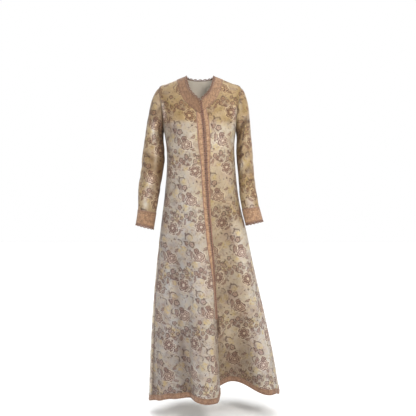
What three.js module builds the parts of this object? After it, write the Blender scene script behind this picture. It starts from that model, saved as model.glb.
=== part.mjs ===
// A full-length Moroccan kaftan, worn: a hollow garment of brocade panels edged with woven braid.
// Millimetres, +Z up. The front faces -Y and the wearer's right side is -X.
// The origin lies between the two neck points, where the wearer's shoulders carry the garment.
import * as THREE from 'three';

// Driving dimensions of the cloth and the braid.
const CLOTH = 2.0; // lined brocade wall
const SEAM_GAP = 0.3; // between neighbouring pieces
const BRAID = 1.2; // woven braid laid on a panel
const FRONT_BAND = {
  right: { top: 26, low: 17 }, // width of the centre-front braid at the chest and below the waist
  left: { top: 20, low: 12 },
};
const BUTTON_LANE = 4.5; // half of the lane left for the buttons
const HEM_BAND = 24; // width of the hem braid
const HEM_DROP = 1400; // neck points to hem
const ARMHOLE_DIP = 25; // degrees that the armhole cuts into each half of the body
const SIDE_SEAM_SWING = 17; // degrees that the right side seam swings forward down the skirt
const SLIT = { overlap: 5, opensOver: 1.1, tuckFrom: 0.45, tuckOver: 1.3 }; // degrees, then rows

// Numbers of columns and rows in the cloth grids; crowding draws a front's columns to the centre.
const FRONT_COLUMNS = 14;
const CROWDING = { right: 1.25, left: 1.1 };
const BACK_COLUMNS = 20;
const ARMHOLE_STEPS = 7;
const SLEEVE_BLEND_ROWS = 6;
const EDGING_STEPS = 4; // points along one scallop

// Scalloped picot edging.
const SCALLOP = {
  root: 3,
  height: 7,
  thickness: 2,
  proud: 1.5,
  clear: 0.4, // from the edge it is sewn to
  trim: 1.5, // from the ends of the edge
  perFront: 8,
  acrossBack: 7,
  perCuff: 12,
};

// Knotted buttons down the centre front.
const BUTTON = { pitch: 12.5, radius: 4.3, neck: 1.7, sides: 6, lift: 5.0 };

// Body sections from the neckline to the hem. zFront, zSide and zBack give the height of a section
// at the centre front, the sides and the centre back; vee and power shape the rise between them.
const BODY_COLUMNS = [
  'name', 'zFront', 'zSide', 'zBack', 'xRight', 'xLeft', 'front', 'back', 'centre', 'vee', 'power',
];
const BODY = [
  ['neck', -125, 0, -6, -66, 66, -95, 62, 5, 0.5, 6],
  ['band', -179, -14, -44, -101, 101, -107, 82, 10, 0.5, 5.5],
  ['mid', -197, -30, -73, -140, 140, -111, 90, 12, 0.5, 5],
  ['tip', -215, -48, -104, -179, 179, -114, 95, 15, 0.5, 5],
  ['arm', -252, -115, -180, -182, 180, -117, 100, 19, 0.45, 4.5],
  ['under', -300, -240, -262, -158, 157, -119, 100, 22, 0.3, 3],
  ['bust', -348, -315, -328, -147, 151, -119, 98, 25, 0, 2],
  ['waist', -410, -404, -405, -146, 156, -117, 98, 27, 0, 2],
  ['hip', -540, -540, -540, -158, 171, -116, 106, 34, 0, 2],
  ['thigh', -690, -690, -690, -176, 206, -118, 120, 47, 0, 2],
  ['knee', -860, -860, -860, -194, 242, -119, 136, 59, 0, 2],
  ['slit', -1046, -1046, -1046, -209, 285, -118, 151, 70, 0, 2],
  ['shin', -1220, -1220, -1220, -217, 319, -114, 164, 79, 0, 2],
  ['hem', -HEM_DROP, -HEM_DROP, -HEM_DROP, -222, 348, -110, 176, 88, 0, 2],
].map((values) => Object.fromEntries(BODY_COLUMNS.map((key, i) => [key, values[i]])));
const ROW = Object.fromEntries(BODY.map((section, index) => [section.name, index]));

// How the centre front hangs: the right front swells into a tube beside the opening, its edge rolls
// back over a flank, and the left front lies recessed behind it. Depths in mm, a row for each
// section from the waist to the hem; shift is how far the flank lies to the left of the opening.
const FRONT_HANG = [
  { section: 'waist', tube: 0, recess: 0, flank: 6, shift: 6 },
  { section: 'hip', tube: 2, recess: 10, flank: 5, shift: 5 },
  { section: 'thigh', tube: 8, recess: 27, flank: 5, shift: 4 },
  { section: 'knee', tube: 20, recess: 42, flank: 7, shift: 1 },
  { section: 'slit', tube: 33, recess: 58, flank: 10, shift: -2 },
  { section: 'shin', tube: 46, recess: 78, flank: 13, shift: -2 },
  { section: 'hem', tube: 58, recess: 98, flank: 14, shift: 0 },
];
const TUBE = { crestFromCentre: -12, halfWidthTop: 16, halfWidthHem: 13.5, roundness: 0.75 };
const RECESS = { deepest: 11, nearEdge: 0.62, reach: 52 };

// Soft folds of the skirt: angle at the start and at the hem, half width, depth (outward positive).
const FOLDS = [
  { name: 'right_trough', from: ROW.thigh, angleTop: -38, angleHem: -24, half: 9, depth: -12 },
  { name: 'right_swell', from: ROW.thigh, angleTop: -52, angleHem: -46, half: 16, depth: 7 },
  { name: 'right_side_trough', from: ROW.knee, angleTop: -72, angleHem: -66, half: 9, depth: -6 },
  { name: 'left_swell', from: ROW.thigh, angleTop: 48, angleHem: 52, half: 20, depth: 14 },
  { name: 'left_side_trough', from: ROW.knee, angleTop: 76, angleHem: 78, half: 12, depth: -7 },
  { name: 'back_left_swell', from: ROW.thigh, angleTop: 108, angleHem: 105, half: 16, depth: 13 },
  { name: 'back_left_trough', from: ROW.hip, angleTop: 134, angleHem: 131, half: 14, depth: -20 },
  { name: 'back_left_tube', from: ROW.hip, angleTop: 156, angleHem: 158, half: 16, depth: 24 },
  { name: 'back_centre_trough', from: ROW.thigh, angleTop: 181, angleHem: 186, half: 14, depth: -22 },
  { name: 'back_right_tube', from: ROW.hip, angleTop: 207, angleHem: 213, half: 17, depth: 21 },
  { name: 'back_right_trough', from: ROW.thigh, angleTop: 234, angleHem: 240, half: 13, depth: -15 },
  { name: 'back_right_swell', from: ROW.knee, angleTop: 262, angleHem: 262, half: 14, depth: 6 },
];
const FOLD_GROWTH = 1.15; // a fold reaches its full depth a little above the hem

// Height of the hem above or below its mean, by angle round the body.
const HEM_LIFT = [
  { angle: -90, lift: -20 },
  { angle: -60, lift: -4 },
  { angle: -38, lift: 14 },
  { angle: -22, lift: 20 },
  { angle: -7, lift: 15 },
  { angle: 15, lift: 14 },
  { angle: 45, lift: 24 },
  { angle: 65, lift: 24 },
  { angle: 90, lift: 8 },
  { angle: 135, lift: 18 },
  { angle: 185, lift: 22 },
  { angle: 230, lift: 8 },
  { angle: 270, lift: -20 },
];
const SECTION_SHAPE = { fullTop: 0.76, fullLow: 0.9, fullOver: 4, backPower: 2.6 }; // roundness
const RECESS_LIFT = { height: 50, angle: 10, reach: 34 }; // the left front's hem lifts in the recess

// Sleeve sections from the upper arm to the cuff mouth: outer and inner edges in x, front and back
// in y, mean height and how much higher the outer edge is. The right sleeve lies on -X.
const SLEEVES = {
  right: [
    { z: -268, outer: -242, inner: -160, front: -54, back: 47, tilt: 0 },
    { z: -320, outer: -249, inner: -156, front: -56, back: 43, tilt: 2 },
    { z: -374, outer: -255, inner: -155, front: -58, back: 38, tilt: 3 },
    { z: -444, outer: -264, inner: -166, front: -63, back: 27, tilt: 5 },
    { z: -514, outer: -269, inner: -177, front: -68, back: 16, tilt: 8 },
    { z: -589, outer: -269, inner: -190, front: -69, back: 5, tilt: 13 },
    { z: -651, outer: -277, inner: -200, front: -70, back: 0, tilt: 20 },
  ],
  left: [
    { z: -268, outer: 225, inner: 161, front: -53, back: 47, tilt: 0 },
    { z: -320, outer: 230, inner: 159, front: -55, back: 43, tilt: 1 },
    { z: -374, outer: 234, inner: 161, front: -57, back: 38, tilt: 2 },
    { z: -444, outer: 238, inner: 168, front: -61, back: 28, tilt: 4 },
    { z: -514, outer: 247, inner: 173, front: -66, back: 18, tilt: 7 },
    { z: -575, outer: 257, inner: 183, front: -68, back: 8, tilt: 11 },
    { z: -635, outer: 272, inner: 198, front: -70, back: 2, tilt: 17 },
  ],
};
const CUFF_START = 6; // place along a sleeve where the cuff braid begins

// How the sleeve head turns out of the armhole: sideways share of its direction under the arm and at
// the top, and how strongly it leaves the seam and meets the first section.
const SLEEVE_HEAD = { asideUnder: 0.25, asideTop: 0.82, leave: 0.62, arrive: 0.95 };

// Creases across the sleeves: place along the sleeve and how it climbs with the turn, middle and
// reach round the sleeve in degrees, half width in places and depth in mm.
const SLEEVE_CREASES = {
  right: [
    { row: 3.3, turn: -0.25, centre: 20, half: 0.45, reach: 80, depth: -4 },
    { row: 4.1, turn: 0.2, centre: 40, half: 0.4, reach: 70, depth: -4 },
  ],
  left: [
    { row: 1.05, turn: 0.75, centre: 75, half: 0.4, reach: 95, depth: -9 },
    { row: 3.6, turn: 0.3, centre: 60, half: 0.5, reach: 80, depth: -4 },
  ],
};

const COLOURS = {
  brocade: { color: 0xc9bfa6, roughness: 0.45, metalness: 0.05 },
  brocadeWarm: { color: 0xc4b192, roughness: 0.45, metalness: 0.05 },
  braid: { color: 0xa98467, roughness: 0.7, metalness: 0.05 },
  picot: { color: 0x8a6651, roughness: 0.75, metalness: 0 },
  buttons: { color: 0x7f5a4c, roughness: 0.6, metalness: 0 },
};

const WALK_STEP = 0.25; // degrees at a time, when measuring along a section
const WALK_LIMIT = 100;
const DEGREE = Math.PI / 180;
const clamp = (value, low, high) => Math.min(high, Math.max(low, value));
const mix = (a, b, t) => a + (b - a) * t;
const smooth = (t) => {
  const c = clamp(t, 0, 1);
  return c * c * (3 - 2 * c);
};

// Catmull-Rom reading of one column of a table at a fractional row.
function column(table, key, row) {
  const last = table.length - 1;
  const at = clamp(row, 0, last);
  const i = Math.min(Math.floor(at), last - 1);
  const t = at - i;
  const p1 = table[i][key];
  const p2 = table[i + 1][key];
  const p0 = i > 0 ? table[i - 1][key] : 2 * p1 - p2;
  const p3 = i + 2 <= last ? table[i + 2][key] : 2 * p2 - p1;
  const a = 2 * p1;
  const b = p2 - p0;
  const c = 2 * p0 - 5 * p1 + 4 * p2 - p3;
  const d = -p0 + 3 * p1 - 3 * p2 + p3;
  return 0.5 * (a + b * t + c * t * t + d * t * t * t);
}

// Smoothed reading of a table whose rows lie at uneven positions.
function along(table, place, key, position) {
  const last = table.length - 1;
  if (position <= table[0][place]) return table[0][key];
  if (position >= table[last][place]) return table[last][key];
  let i = 0;
  while (table[i + 1][place] < position) i += 1;
  const t = (position - table[i][place]) / (table[i + 1][place] - table[i][place]);
  return mix(table[i][key], table[i + 1][key], smooth(t));
}

// Raised-cosine bump of unit height on [-1, 1].
const bump = (t) => (Math.abs(t) >= 1 ? 0 : 0.5 + 0.5 * Math.cos(Math.PI * t));

// Angle at which the centre front lies on a section.
function centreAngle(row) {
  const middle = (column(BODY, 'xLeft', row) + column(BODY, 'xRight', row)) / 2;
  const half = (column(BODY, 'xLeft', row) - column(BODY, 'xRight', row)) / 2;
  return Math.asin((column(BODY, 'centre', row) - middle) / half) / DEGREE;
}

const skirtShare = (row) => clamp((row - ROW.waist) / (ROW.hem - ROW.waist), 0, 1);
const slitShare = (row) => smooth((row - ROW.slit) / SLIT.opensOver);
const slitOverlap = (row) => SLIT.overlap * smooth((row - ROW.slit - SLIT.tuckFrom) / SLIT.tuckOver);
const hemShare = (row) => smooth((row - ROW.slit) / (ROW.hem - ROW.slit));

// How far a point has passed over the flank at the centre front: 0 on the right, 1 on the left.
function flankShare(angle, row, side) {
  const half = (column(BODY, 'xLeft', row) - column(BODY, 'xRight', row)) / 2;
  const hang = (key) => column(FRONT_HANG, key, row - ROW.waist);
  const flank = hang('flank') / half / DEGREE;
  const shift = hang('shift') / half / DEGREE;
  const share = smooth((angle - centreAngle(row) - shift + flank) / (2 * flank));
  return side === 'left' ? Math.max(share, slitShare(row)) : share;
}

// Depth towards the front of the tube and the recess, and the lift of the hem that goes with them.
function frontHang(angle, row, side) {
  if (Math.abs(angle) > 90 || row <= ROW.waist) return { out: 0, lift: 0 };
  const centre = centreAngle(row);
  const halfWidth = mix(TUBE.halfWidthTop, TUBE.halfWidthHem, skirtShare(row));
  const t = (angle - centre - TUBE.crestFromCentre) / halfWidth;
  const tube = Math.abs(t) >= 1 ? 0 : (1 - t * t) ** TUBE.roundness;
  const from = angle - centre;
  const deepest = smooth((from + SLIT.overlap) / (RECESS.deepest + SLIT.overlap));
  const fade = 1 - smooth((from - RECESS.deepest) / (RECESS.reach - RECESS.deepest));
  const hollow = mix(RECESS.nearEdge, 1, deepest) * fade;
  const over = flankShare(angle, row, side);
  const place = row - ROW.waist;
  const swell = column(FRONT_HANG, 'tube', place) * tube;
  const out = mix(swell, -column(FRONT_HANG, 'recess', place) * hollow, over);
  const raised = RECESS_LIFT.height * bump((from - RECESS_LIFT.angle) / RECESS_LIFT.reach);
  return { out, lift: over * raised * hemShare(row) };
}

const sameTurn = (angle) => ((angle + 90 + 360) % 360) - 90; // the same angle, from -90 to 270

// Sum of the soft folds at an angle (degrees, any turn) and a row.
function foldDepth(angle, row) {
  let depth = 0;
  for (const fold of FOLDS) {
    const down = (row - fold.from) / (ROW.hem - fold.from);
    if (down <= 0) continue;
    const middle = mix(fold.angleTop, fold.angleHem, down);
    const away = ((angle - middle + 540) % 360) - 180;
    depth += fold.depth * smooth(down * FOLD_GROWTH) * bump(away / fold.half);
  }
  return depth;
}

// The outer surface of the body at an angle round it (0 front, 90 wearer's left) and a row.
function body(angle, row, side = 'right') {
  const turn = angle * DEGREE;
  const sine = Math.sin(turn);
  const cosine = Math.cos(turn);
  const get = (key) => column(BODY, key, row);
  const middle = (get('xLeft') + get('xRight')) / 2;
  const half = (get('xLeft') - get('xRight')) / 2;
  const forward = cosine >= 0;
  const depth = forward ? get('front') : get('back');
  const shape = SECTION_SHAPE;
  const full = mix(shape.fullTop, shape.fullLow, clamp((row - ROW.tip) / shape.fullOver, 0, 1));
  const y = depth * Math.abs(cosine) ** full;
  const reach = Math.abs(sine);
  const rise = forward
    ? get('vee') * reach + (1 - get('vee')) * reach ** get('power')
    : reach ** shape.backPower;
  const zMiddle = forward ? get('zFront') : get('zBack');
  const hang = frontHang(angle, row, side);
  const out = foldDepth(angle, row);
  const lift = along(HEM_LIFT, 'angle', 'lift', sameTurn(angle)) * hemShare(row) + hang.lift;
  return new THREE.Vector3(
    middle + half * sine + out * sine,
    y - out * cosine - hang.out,
    mix(zMiddle, get('zSide'), rise) + lift,
  );
}

// Outward normal of a surface given as a function of two parameters.
function normalOf(surface, u, v, du, dv, away) {
  const across = surface(u + du, v).sub(surface(u - du, v));
  const down = surface(u, v + dv).sub(surface(u, v - dv));
  const normal = across.cross(down).normalize();
  return normal.dot(away) < 0 ? normal.negate() : normal;
}

function bodyNormal(angle, row, side) {
  const up = row < ROW.tip ? 1.2 : 0;
  const away = new THREE.Vector3(Math.sin(angle * DEGREE), -Math.cos(angle * DEGREE), up);
  const safeRow = clamp(row, 0.02, ROW.hem - 0.02);
  return normalOf((a, r) => body(a, r, side), angle, safeRow, 0.6, 0.02, away);
}

// Angle reached by walking a distance (mm) along a section from a starting angle.
function walk(angle, row, side, distance, direction) {
  const step = WALK_STEP * direction;
  let here = angle;
  let left = distance;
  let point = body(here, row, side);
  while (Math.abs(here - angle) < WALK_LIMIT) {
    const next = body(here + step, row, side);
    const length = next.distanceTo(point);
    if (length >= left) return here + step * (left / length);
    left -= length;
    here += step;
    point = next;
  }
  return here;
}

// The armhole seam from the shoulder tip (share 0) to the underarm (share 1): its row on the body
// and how far it cuts into the panel, in degrees.
const armholeRow = (share) => mix(ROW.tip, ROW.under, (share + (1 - Math.cos(share * Math.PI)) / 2) / 2);
const armholeDip = (share) => ARMHOLE_DIP * Math.sin(share * Math.PI);
const ARMHOLE_ROWS = Array.from({ length: ARMHOLE_STEPS + 1 }, (_, i) => armholeRow(i / ARMHOLE_STEPS));
const dipAt = (row) => armholeDip(Math.max(0, ARMHOLE_ROWS.indexOf(row)) / ARMHOLE_STEPS);
const sideSeam = (row) => -90 + SIDE_SEAM_SWING * smooth((row - ROW.waist) / (ROW.knee - ROW.waist));

// Rows that every panel is woven on; the last but one is the top of the hem braid.
const hemBandRow = ROW.hem - HEM_BAND / (HEM_DROP + BODY[ROW.shin].zFront);
const PANEL_ROWS = [
  ROW.neck,
  ROW.band,
  ROW.mid,
  ...ARMHOLE_ROWS,
  ROW.bust,
  ROW.waist,
  ROW.waist + 0.5,
  ROW.hip,
  ROW.hip + 0.5,
  ROW.thigh,
  ROW.thigh + 0.5,
  ROW.knee,
  ROW.knee + 0.5,
  ROW.slit,
  ROW.slit + 0.35,
  ROW.slit + 0.7,
  ROW.shin,
  ROW.shin + 0.5,
  hemBandRow,
  ROW.hem,
];
const BAND_TOP = 1; // place in PANEL_ROWS of the lower edge of the neck braid
const SLIT_PLACE = PANEL_ROWS.indexOf(ROW.slit);

// Angles of a front panel's columns on a row, from the centre front out to the side.
function frontAngles(row, side) {
  const direction = side === 'right' ? -1 : 1;
  const edge = centreAngle(row) - (side === 'left' ? slitOverlap(row) : 0);
  const { top, low } = FRONT_BAND[side];
  const braid = mix(top, low, smooth((row - ROW.under) / (ROW.waist - ROW.under)));
  const distances = [SEAM_GAP / 2, BUTTON_LANE, BUTTON_LANE + braid / 2, BUTTON_LANE + braid];
  const near = distances.map((distance) => walk(edge, row, side, distance, direction));
  const seam = side === 'right' ? sideSeam(row) : 90;
  const end = walk(seam - direction * dipAt(row), row, side, SEAM_GAP / 2, -direction);
  const spread = [];
  for (let i = 1; i <= FRONT_COLUMNS; i += 1) {
    spread.push(mix(near[3], end, (i / FRONT_COLUMNS) ** CROWDING[side]));
  }
  return [...near, ...spread];
}

// Angles of the back panel's columns on a row, from the wearer's left round to the right.
function backAngles(row) {
  const start = walk(90 + dipAt(row), row, 'right', SEAM_GAP / 2, 1);
  const end = walk(sideSeam(row) + 360 - dipAt(row), row, 'right', SEAM_GAP / 2, -1);
  return Array.from({ length: BACK_COLUMNS + 1 }, (_, i) => mix(start, end, i / BACK_COLUMNS));
}

// Grid of outer points and normals for a panel: one list for each row.
function panelGrid(anglesOf, side) {
  return PANEL_ROWS.map((row) =>
    anglesOf(row, side).map((angle) => ({
      point: body(angle, row, side),
      normal: bodyNormal(angle, row, side),
    })),
  );
}

// Closed wall between two offsets along the normals of a grid. A round grid closes on itself.
function wall(grid, outer, inner, round = false) {
  const rows = grid.length;
  const columns = grid[0].length;
  const positions = [];
  for (const offset of [outer, inner]) {
    for (const row of grid) {
      for (const { point, normal } of row) {
        const p = point.clone().addScaledVector(normal, offset);
        positions.push(p.x, p.y, p.z);
      }
    }
  }
  const index = [];
  const at = (layer, r, c) => layer * rows * columns + r * columns + (c % columns);
  const quad = (a, b, c, d) => index.push(a, b, c, a, c, d);
  const span = (r, c, r2, c2) => grid[r][c % columns].point.distanceTo(grid[r2][c2 % columns].point);
  const spans = round ? columns : columns - 1;
  for (let r = 0; r < rows - 1; r += 1) {
    for (let c = 0; c < spans; c += 1) {
      const outside = [at(0, r, c), at(0, r + 1, c), at(0, r + 1, c + 1), at(0, r, c + 1)];
      const inside = [at(1, r, c), at(1, r, c + 1), at(1, r + 1, c + 1), at(1, r + 1, c)];
      if (span(r, c, r + 1, c + 1) > span(r + 1, c, r, c + 1)) {
        outside.push(outside.shift());
        inside.push(inside.shift());
      }
      quad(...outside);
      quad(...inside);
    }
  }
  for (let c = 0; c < spans; c += 1) {
    quad(at(0, 0, c), at(0, 0, c + 1), at(1, 0, c + 1), at(1, 0, c));
    quad(at(0, rows - 1, c), at(1, rows - 1, c), at(1, rows - 1, c + 1), at(0, rows - 1, c + 1));
  }
  if (!round) {
    for (let r = 0; r < rows - 1; r += 1) {
      quad(at(0, r, 0), at(1, r, 0), at(1, r + 1, 0), at(0, r + 1, 0));
      const end = columns - 1;
      quad(at(0, r, end), at(0, r + 1, end), at(1, r + 1, end), at(1, r, end));
    }
  }
  return closedGeometry(positions, index);
}

// Geometry whose faces point out: the winding is turned over when the signed volume is negative.
function closedGeometry(positions, index) {
  const a = new THREE.Vector3();
  const b = new THREE.Vector3();
  const c = new THREE.Vector3();
  let volume = 0;
  for (let i = 0; i < index.length; i += 3) {
    a.fromArray(positions, index[i] * 3);
    b.fromArray(positions, index[i + 1] * 3);
    c.fromArray(positions, index[i + 2] * 3);
    volume += a.dot(b.cross(c));
  }
  if (volume < 0) {
    for (let i = 0; i < index.length; i += 3) {
      [index[i + 1], index[i + 2]] = [index[i + 2], index[i + 1]];
    }
  }
  const geometry = new THREE.BufferGeometry();
  geometry.setAttribute('position', new THREE.Float32BufferAttribute(positions, 3));
  geometry.setIndex(index);
  geometry.computeVertexNormals();
  return geometry;
}

const kaftan = new THREE.Group();

function addPiece(name, geometry, finish) {
  const mesh = new THREE.Mesh(geometry, new THREE.MeshStandardMaterial(COLOURS[finish]));
  mesh.name = name;
  kaftan.add(mesh);
}

// The part of a grid between two rows and two columns, ends included.
const patch = (grid, r0, r1, c0, c1) => grid.slice(r0, r1 + 1).map((row) => row.slice(c0, c1 + 1));

// Woven braid laid on the cells of a grid, clear of the cloth below by the seam gap.
function addBraid(name, grid, round = false) {
  addPiece(name, wall(grid, SEAM_GAP + BRAID, SEAM_GAP, round), 'braid');
}

const lastRow = PANEL_ROWS.length - 1;

// Panels with the neck, front and hem braids that are laid on them.
const fronts = { right: panelGrid(frontAngles, 'right'), left: panelGrid(frontAngles, 'left') };
for (const side of ['right', 'left']) {
  const grid = fronts[side];
  const lastColumn = grid[0].length - 1;
  addPiece(`front_${side}`, wall(grid, 0, -CLOTH), side === 'right' ? 'brocade' : 'brocadeWarm');
  addBraid(`neck_band_${side}`, patch(grid, 0, BAND_TOP, 1, lastColumn));
  const bandRows = patch(grid, BAND_TOP, SLIT_PLACE, 1, 3);
  bandRows[0] = bandRows[0].map(({ point, normal }, i) => {
    const next = bandRows[1][i].point.clone().sub(point).normalize();
    return { point: point.clone().addScaledVector(next, SEAM_GAP), normal };
  });
  addBraid(`front_band_${side}`, bandRows);
  addBraid(`hem_band_${side}`, patch(grid, lastRow - 1, lastRow, 0, lastColumn));
}
const back = panelGrid(backAngles, 'right');
addPiece('back', wall(back, 0, -CLOTH), 'brocade');
addBraid('neck_band_back', patch(back, 0, BAND_TOP, 0, BACK_COLUMNS));
addBraid('hem_band_back', patch(back, lastRow - 1, lastRow, 0, BACK_COLUMNS));

// Point of the armhole seam: turn 0 at the shoulder tip, 90 at the front, 180 underarm, 270 back.
function armhole(side, turn) {
  const sign = side === 'right' ? -1 : 1;
  const share = turn <= 180 ? turn / 180 : (360 - turn) / 180;
  const row = armholeRow(share);
  const angle = sign * (90 - (turn <= 180 ? 1 : -1) * armholeDip(share));
  const point = body(angle, row, side);
  const panelSide = body(angle + (turn > 180 ? sign : -sign), row, side);
  const outward = point.clone().sub(panelSide).normalize();
  return { point, normal: bodyNormal(angle, row, side), outward };
}

// Point of a sleeve section ring.
function sleeveSection(side, turn, place) {
  const table = SLEEVES[side];
  const get = (key) => column(table, key, place);
  const sine = Math.sin(turn * DEGREE);
  const cosine = Math.cos(turn * DEGREE);
  return new THREE.Vector3(
    (get('outer') + get('inner')) / 2 + ((get('outer') - get('inner')) / 2) * cosine,
    (get('front') + get('back')) / 2 + ((get('front') - get('back')) / 2) * sine,
    get('z') + (get('tilt') / 2) * cosine,
  );
}

// Trough depth of the sleeve creases at a turn and place.
function creaseDepth(side, turn, place) {
  let depth = 0;
  for (const crease of SLEEVE_CREASES[side]) {
    const away = ((turn - crease.centre + 540) % 360) - 180;
    const line = crease.row + crease.turn * (away / 60);
    depth += crease.depth * bump(away / crease.reach) * bump((place - line) / crease.half);
  }
  return depth;
}

// The sleeve's surface: place 0 at the armhole, 1 at the first section, then on down the table.
function sleeve(side, turn, place) {
  const sign = side === 'right' ? -1 : 1;
  const spread = Math.cos((turn / 2) * DEGREE) ** 2;
  let point;
  if (place >= 1) {
    point = sleeveSection(side, turn, place - 1);
  } else {
    const start = armhole(side, turn).point;
    const end = sleeveSection(side, turn, 0);
    const length = start.distanceTo(end);
    const aside = mix(SLEEVE_HEAD.asideUnder, SLEEVE_HEAD.asideTop, spread);
    const leave = new THREE.Vector3(sign * aside, 0, -Math.sqrt(1 - aside * aside));
    const arrive = sleeveSection(side, turn, 0.3).sub(end).normalize();
    const t = place;
    const h00 = 2 * t ** 3 - 3 * t ** 2 + 1;
    const h10 = t ** 3 - 2 * t ** 2 + t;
    const h01 = -2 * t ** 3 + 3 * t ** 2;
    const h11 = t ** 3 - t ** 2;
    point = start.multiplyScalar(h00).addScaledVector(end, h01);
    point.addScaledVector(leave, h10 * length * SLEEVE_HEAD.leave);
    point.addScaledVector(arrive, h11 * length * SLEEVE_HEAD.arrive);
  }
  const away = new THREE.Vector3(sign * Math.cos(turn * DEGREE), -Math.sin(turn * DEGREE), 0);
  return point.addScaledVector(away, creaseDepth(side, turn, place));
}

function sleeveNormal(side, turn, place) {
  const sign = side === 'right' ? -1 : 1;
  const upper = clamp(1 - place, 0, 1);
  const away = new THREE.Vector3(
    sign * Math.cos(turn * DEGREE),
    -Math.sin(turn * DEGREE),
    upper * Math.cos(turn * DEGREE),
  );
  const last = SLEEVES[side].length;
  return normalOf((t, p) => sleeve(side, t, p), turn, clamp(place, 0.03, last - 0.03), 1, 0.03, away);
}

const SLEEVE_PLACES = [
  ...Array.from({ length: SLEEVE_BLEND_ROWS }, (_, i) => i / SLEEVE_BLEND_ROWS),
  1, 1.5, 2, 2.5, 3, 3.5, 4, 4.5, 5, 5.5, CUFF_START, CUFF_START + 0.5, CUFF_START + 1,
];
const sleeveTurns = Array.from({ length: 2 * ARMHOLE_STEPS }, (_, i) => (i * 180) / ARMHOLE_STEPS);

const sleeves = {};
for (const side of ['right', 'left']) {
  const grid = SLEEVE_PLACES.map((place) =>
    sleeveTurns.map((turn) => {
      if (place > 0) {
        return { point: sleeve(side, turn, place), normal: sleeveNormal(side, turn, place) };
      }
      const { point, normal, outward } = armhole(side, turn);
      return { point: point.addScaledVector(outward, SEAM_GAP), normal };
    }),
  );
  sleeves[side] = grid;
  addPiece(`sleeve_${side}`, wall(grid, 0, -CLOTH, true), 'brocade');
  const cuffPlace = SLEEVE_PLACES.indexOf(CUFF_START);
  addBraid(`cuff_${side}`, grid.slice(cuffPlace), true);
}

// Scalloped strip that continues a wall past one edge. The edge is the list of the wall's own
// points there, inner is the next row of them, and the strip keeps clear of the ends by trim.
function scallops(edge, inner, count, trim, round = false) {
  const points = round ? [...edge, edge[0]] : edge;
  const behind = round ? [...inner, inner[0]] : inner;
  const lengths = [0];
  for (let i = 1; i < points.length; i += 1) {
    lengths.push(lengths[i - 1] + points[i].point.distanceTo(points[i - 1].point));
  }
  const steps = count * EDGING_STEPS;
  const root = [];
  const tip = [];
  for (let i = 0; i <= (round ? steps - 1 : steps); i += 1) {
    const distance = mix(trim, lengths.at(-1) - trim, i / steps);
    let k = 0;
    while (k < lengths.length - 2 && lengths[k + 1] < distance) k += 1;
    const t = (distance - lengths[k]) / (lengths[k + 1] - lengths[k]);
    const point = points[k].point.clone().lerp(points[k + 1].point, t);
    const normal = points[k].normal.clone().lerp(points[k + 1].normal, t).normalize();
    const tangent = points[k + 1].point.clone().sub(points[k].point).normalize();
    const beyond = tangent.cross(normal).normalize();
    if (beyond.dot(point.clone().sub(behind[k].point)) < 0) beyond.negate();
    const height = mix(SCALLOP.root, SCALLOP.height, Math.abs(Math.sin((i / EDGING_STEPS) * Math.PI)));
    root.push({ point: point.clone().addScaledVector(beyond, SCALLOP.clear), normal });
    tip.push({ point: point.clone().addScaledVector(beyond, height), normal });
  }
  return wall([root, tip], SCALLOP.proud, SCALLOP.proud - SCALLOP.thickness, round);
}

for (const side of ['right', 'left']) {
  const [edge, inner] = fronts[side].map((row) => row.slice(1));
  addPiece(`neck_edging_${side}`, scallops(edge, inner, SCALLOP.perFront, SCALLOP.trim), 'picot');
}
addPiece('neck_edging_back', scallops(back[0], back[1], SCALLOP.acrossBack, SCALLOP.trim), 'picot');
for (const side of ['right', 'left']) {
  const [edge, inner] = sleeves[side].slice(-2).reverse();
  addPiece(`cuff_edging_${side}`, scallops(edge, inner, SCALLOP.perCuff, 0, true), 'picot');
}

// The button row: knotted buttons threaded in line down the centre front, as one solid.
function buttonRow() {
  const path = [];
  for (let row = 0.05; row < ROW.slit; row += 0.02) {
    const angle = centreAngle(row);
    const normal = bodyNormal(angle, row, 'right');
    path.push(body(angle, row, 'right').addScaledVector(normal, BUTTON.lift));
  }
  const curve = new THREE.CatmullRomCurve3(path);
  const count = Math.floor(curve.getLength() / BUTTON.pitch);
  const positions = [];
  const index = [];
  const rings = 2 * count + 1;
  for (let i = 0; i < rings; i += 1) {
    const point = curve.getPointAt(i / (rings - 1));
    const tangent = curve.getTangentAt(i / (rings - 1));
    const aside = new THREE.Vector3(1, 0, 0).cross(tangent).normalize();
    const across = tangent.clone().cross(aside).normalize();
    const radius = i % 2 ? BUTTON.radius : BUTTON.neck;
    for (let k = 0; k < BUTTON.sides; k += 1) {
      const turn = (k / BUTTON.sides) * 2 * Math.PI;
      const p = point.clone();
      p.addScaledVector(aside, radius * Math.cos(turn));
      p.addScaledVector(across, radius * Math.sin(turn));
      positions.push(p.x, p.y, p.z);
    }
  }
  const at = (ring, k) => ring * BUTTON.sides + (k % BUTTON.sides);
  for (let i = 0; i < rings - 1; i += 1) {
    for (let k = 0; k < BUTTON.sides; k += 1) {
      index.push(at(i, k), at(i + 1, k), at(i + 1, k + 1), at(i, k), at(i + 1, k + 1), at(i, k + 1));
    }
  }
  for (let k = 1; k < BUTTON.sides - 1; k += 1) {
    index.push(at(0, 0), at(0, k), at(0, k + 1));
    index.push(at(rings - 1, 0), at(rings - 1, k + 1), at(rings - 1, k));
  }
  return closedGeometry(positions, index);
}
addPiece('button_row', buttonRow(), 'buttons');

export default kaftan;
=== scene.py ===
import math
from functools import lru_cache, partial

import bpy
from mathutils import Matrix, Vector, noise


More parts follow.
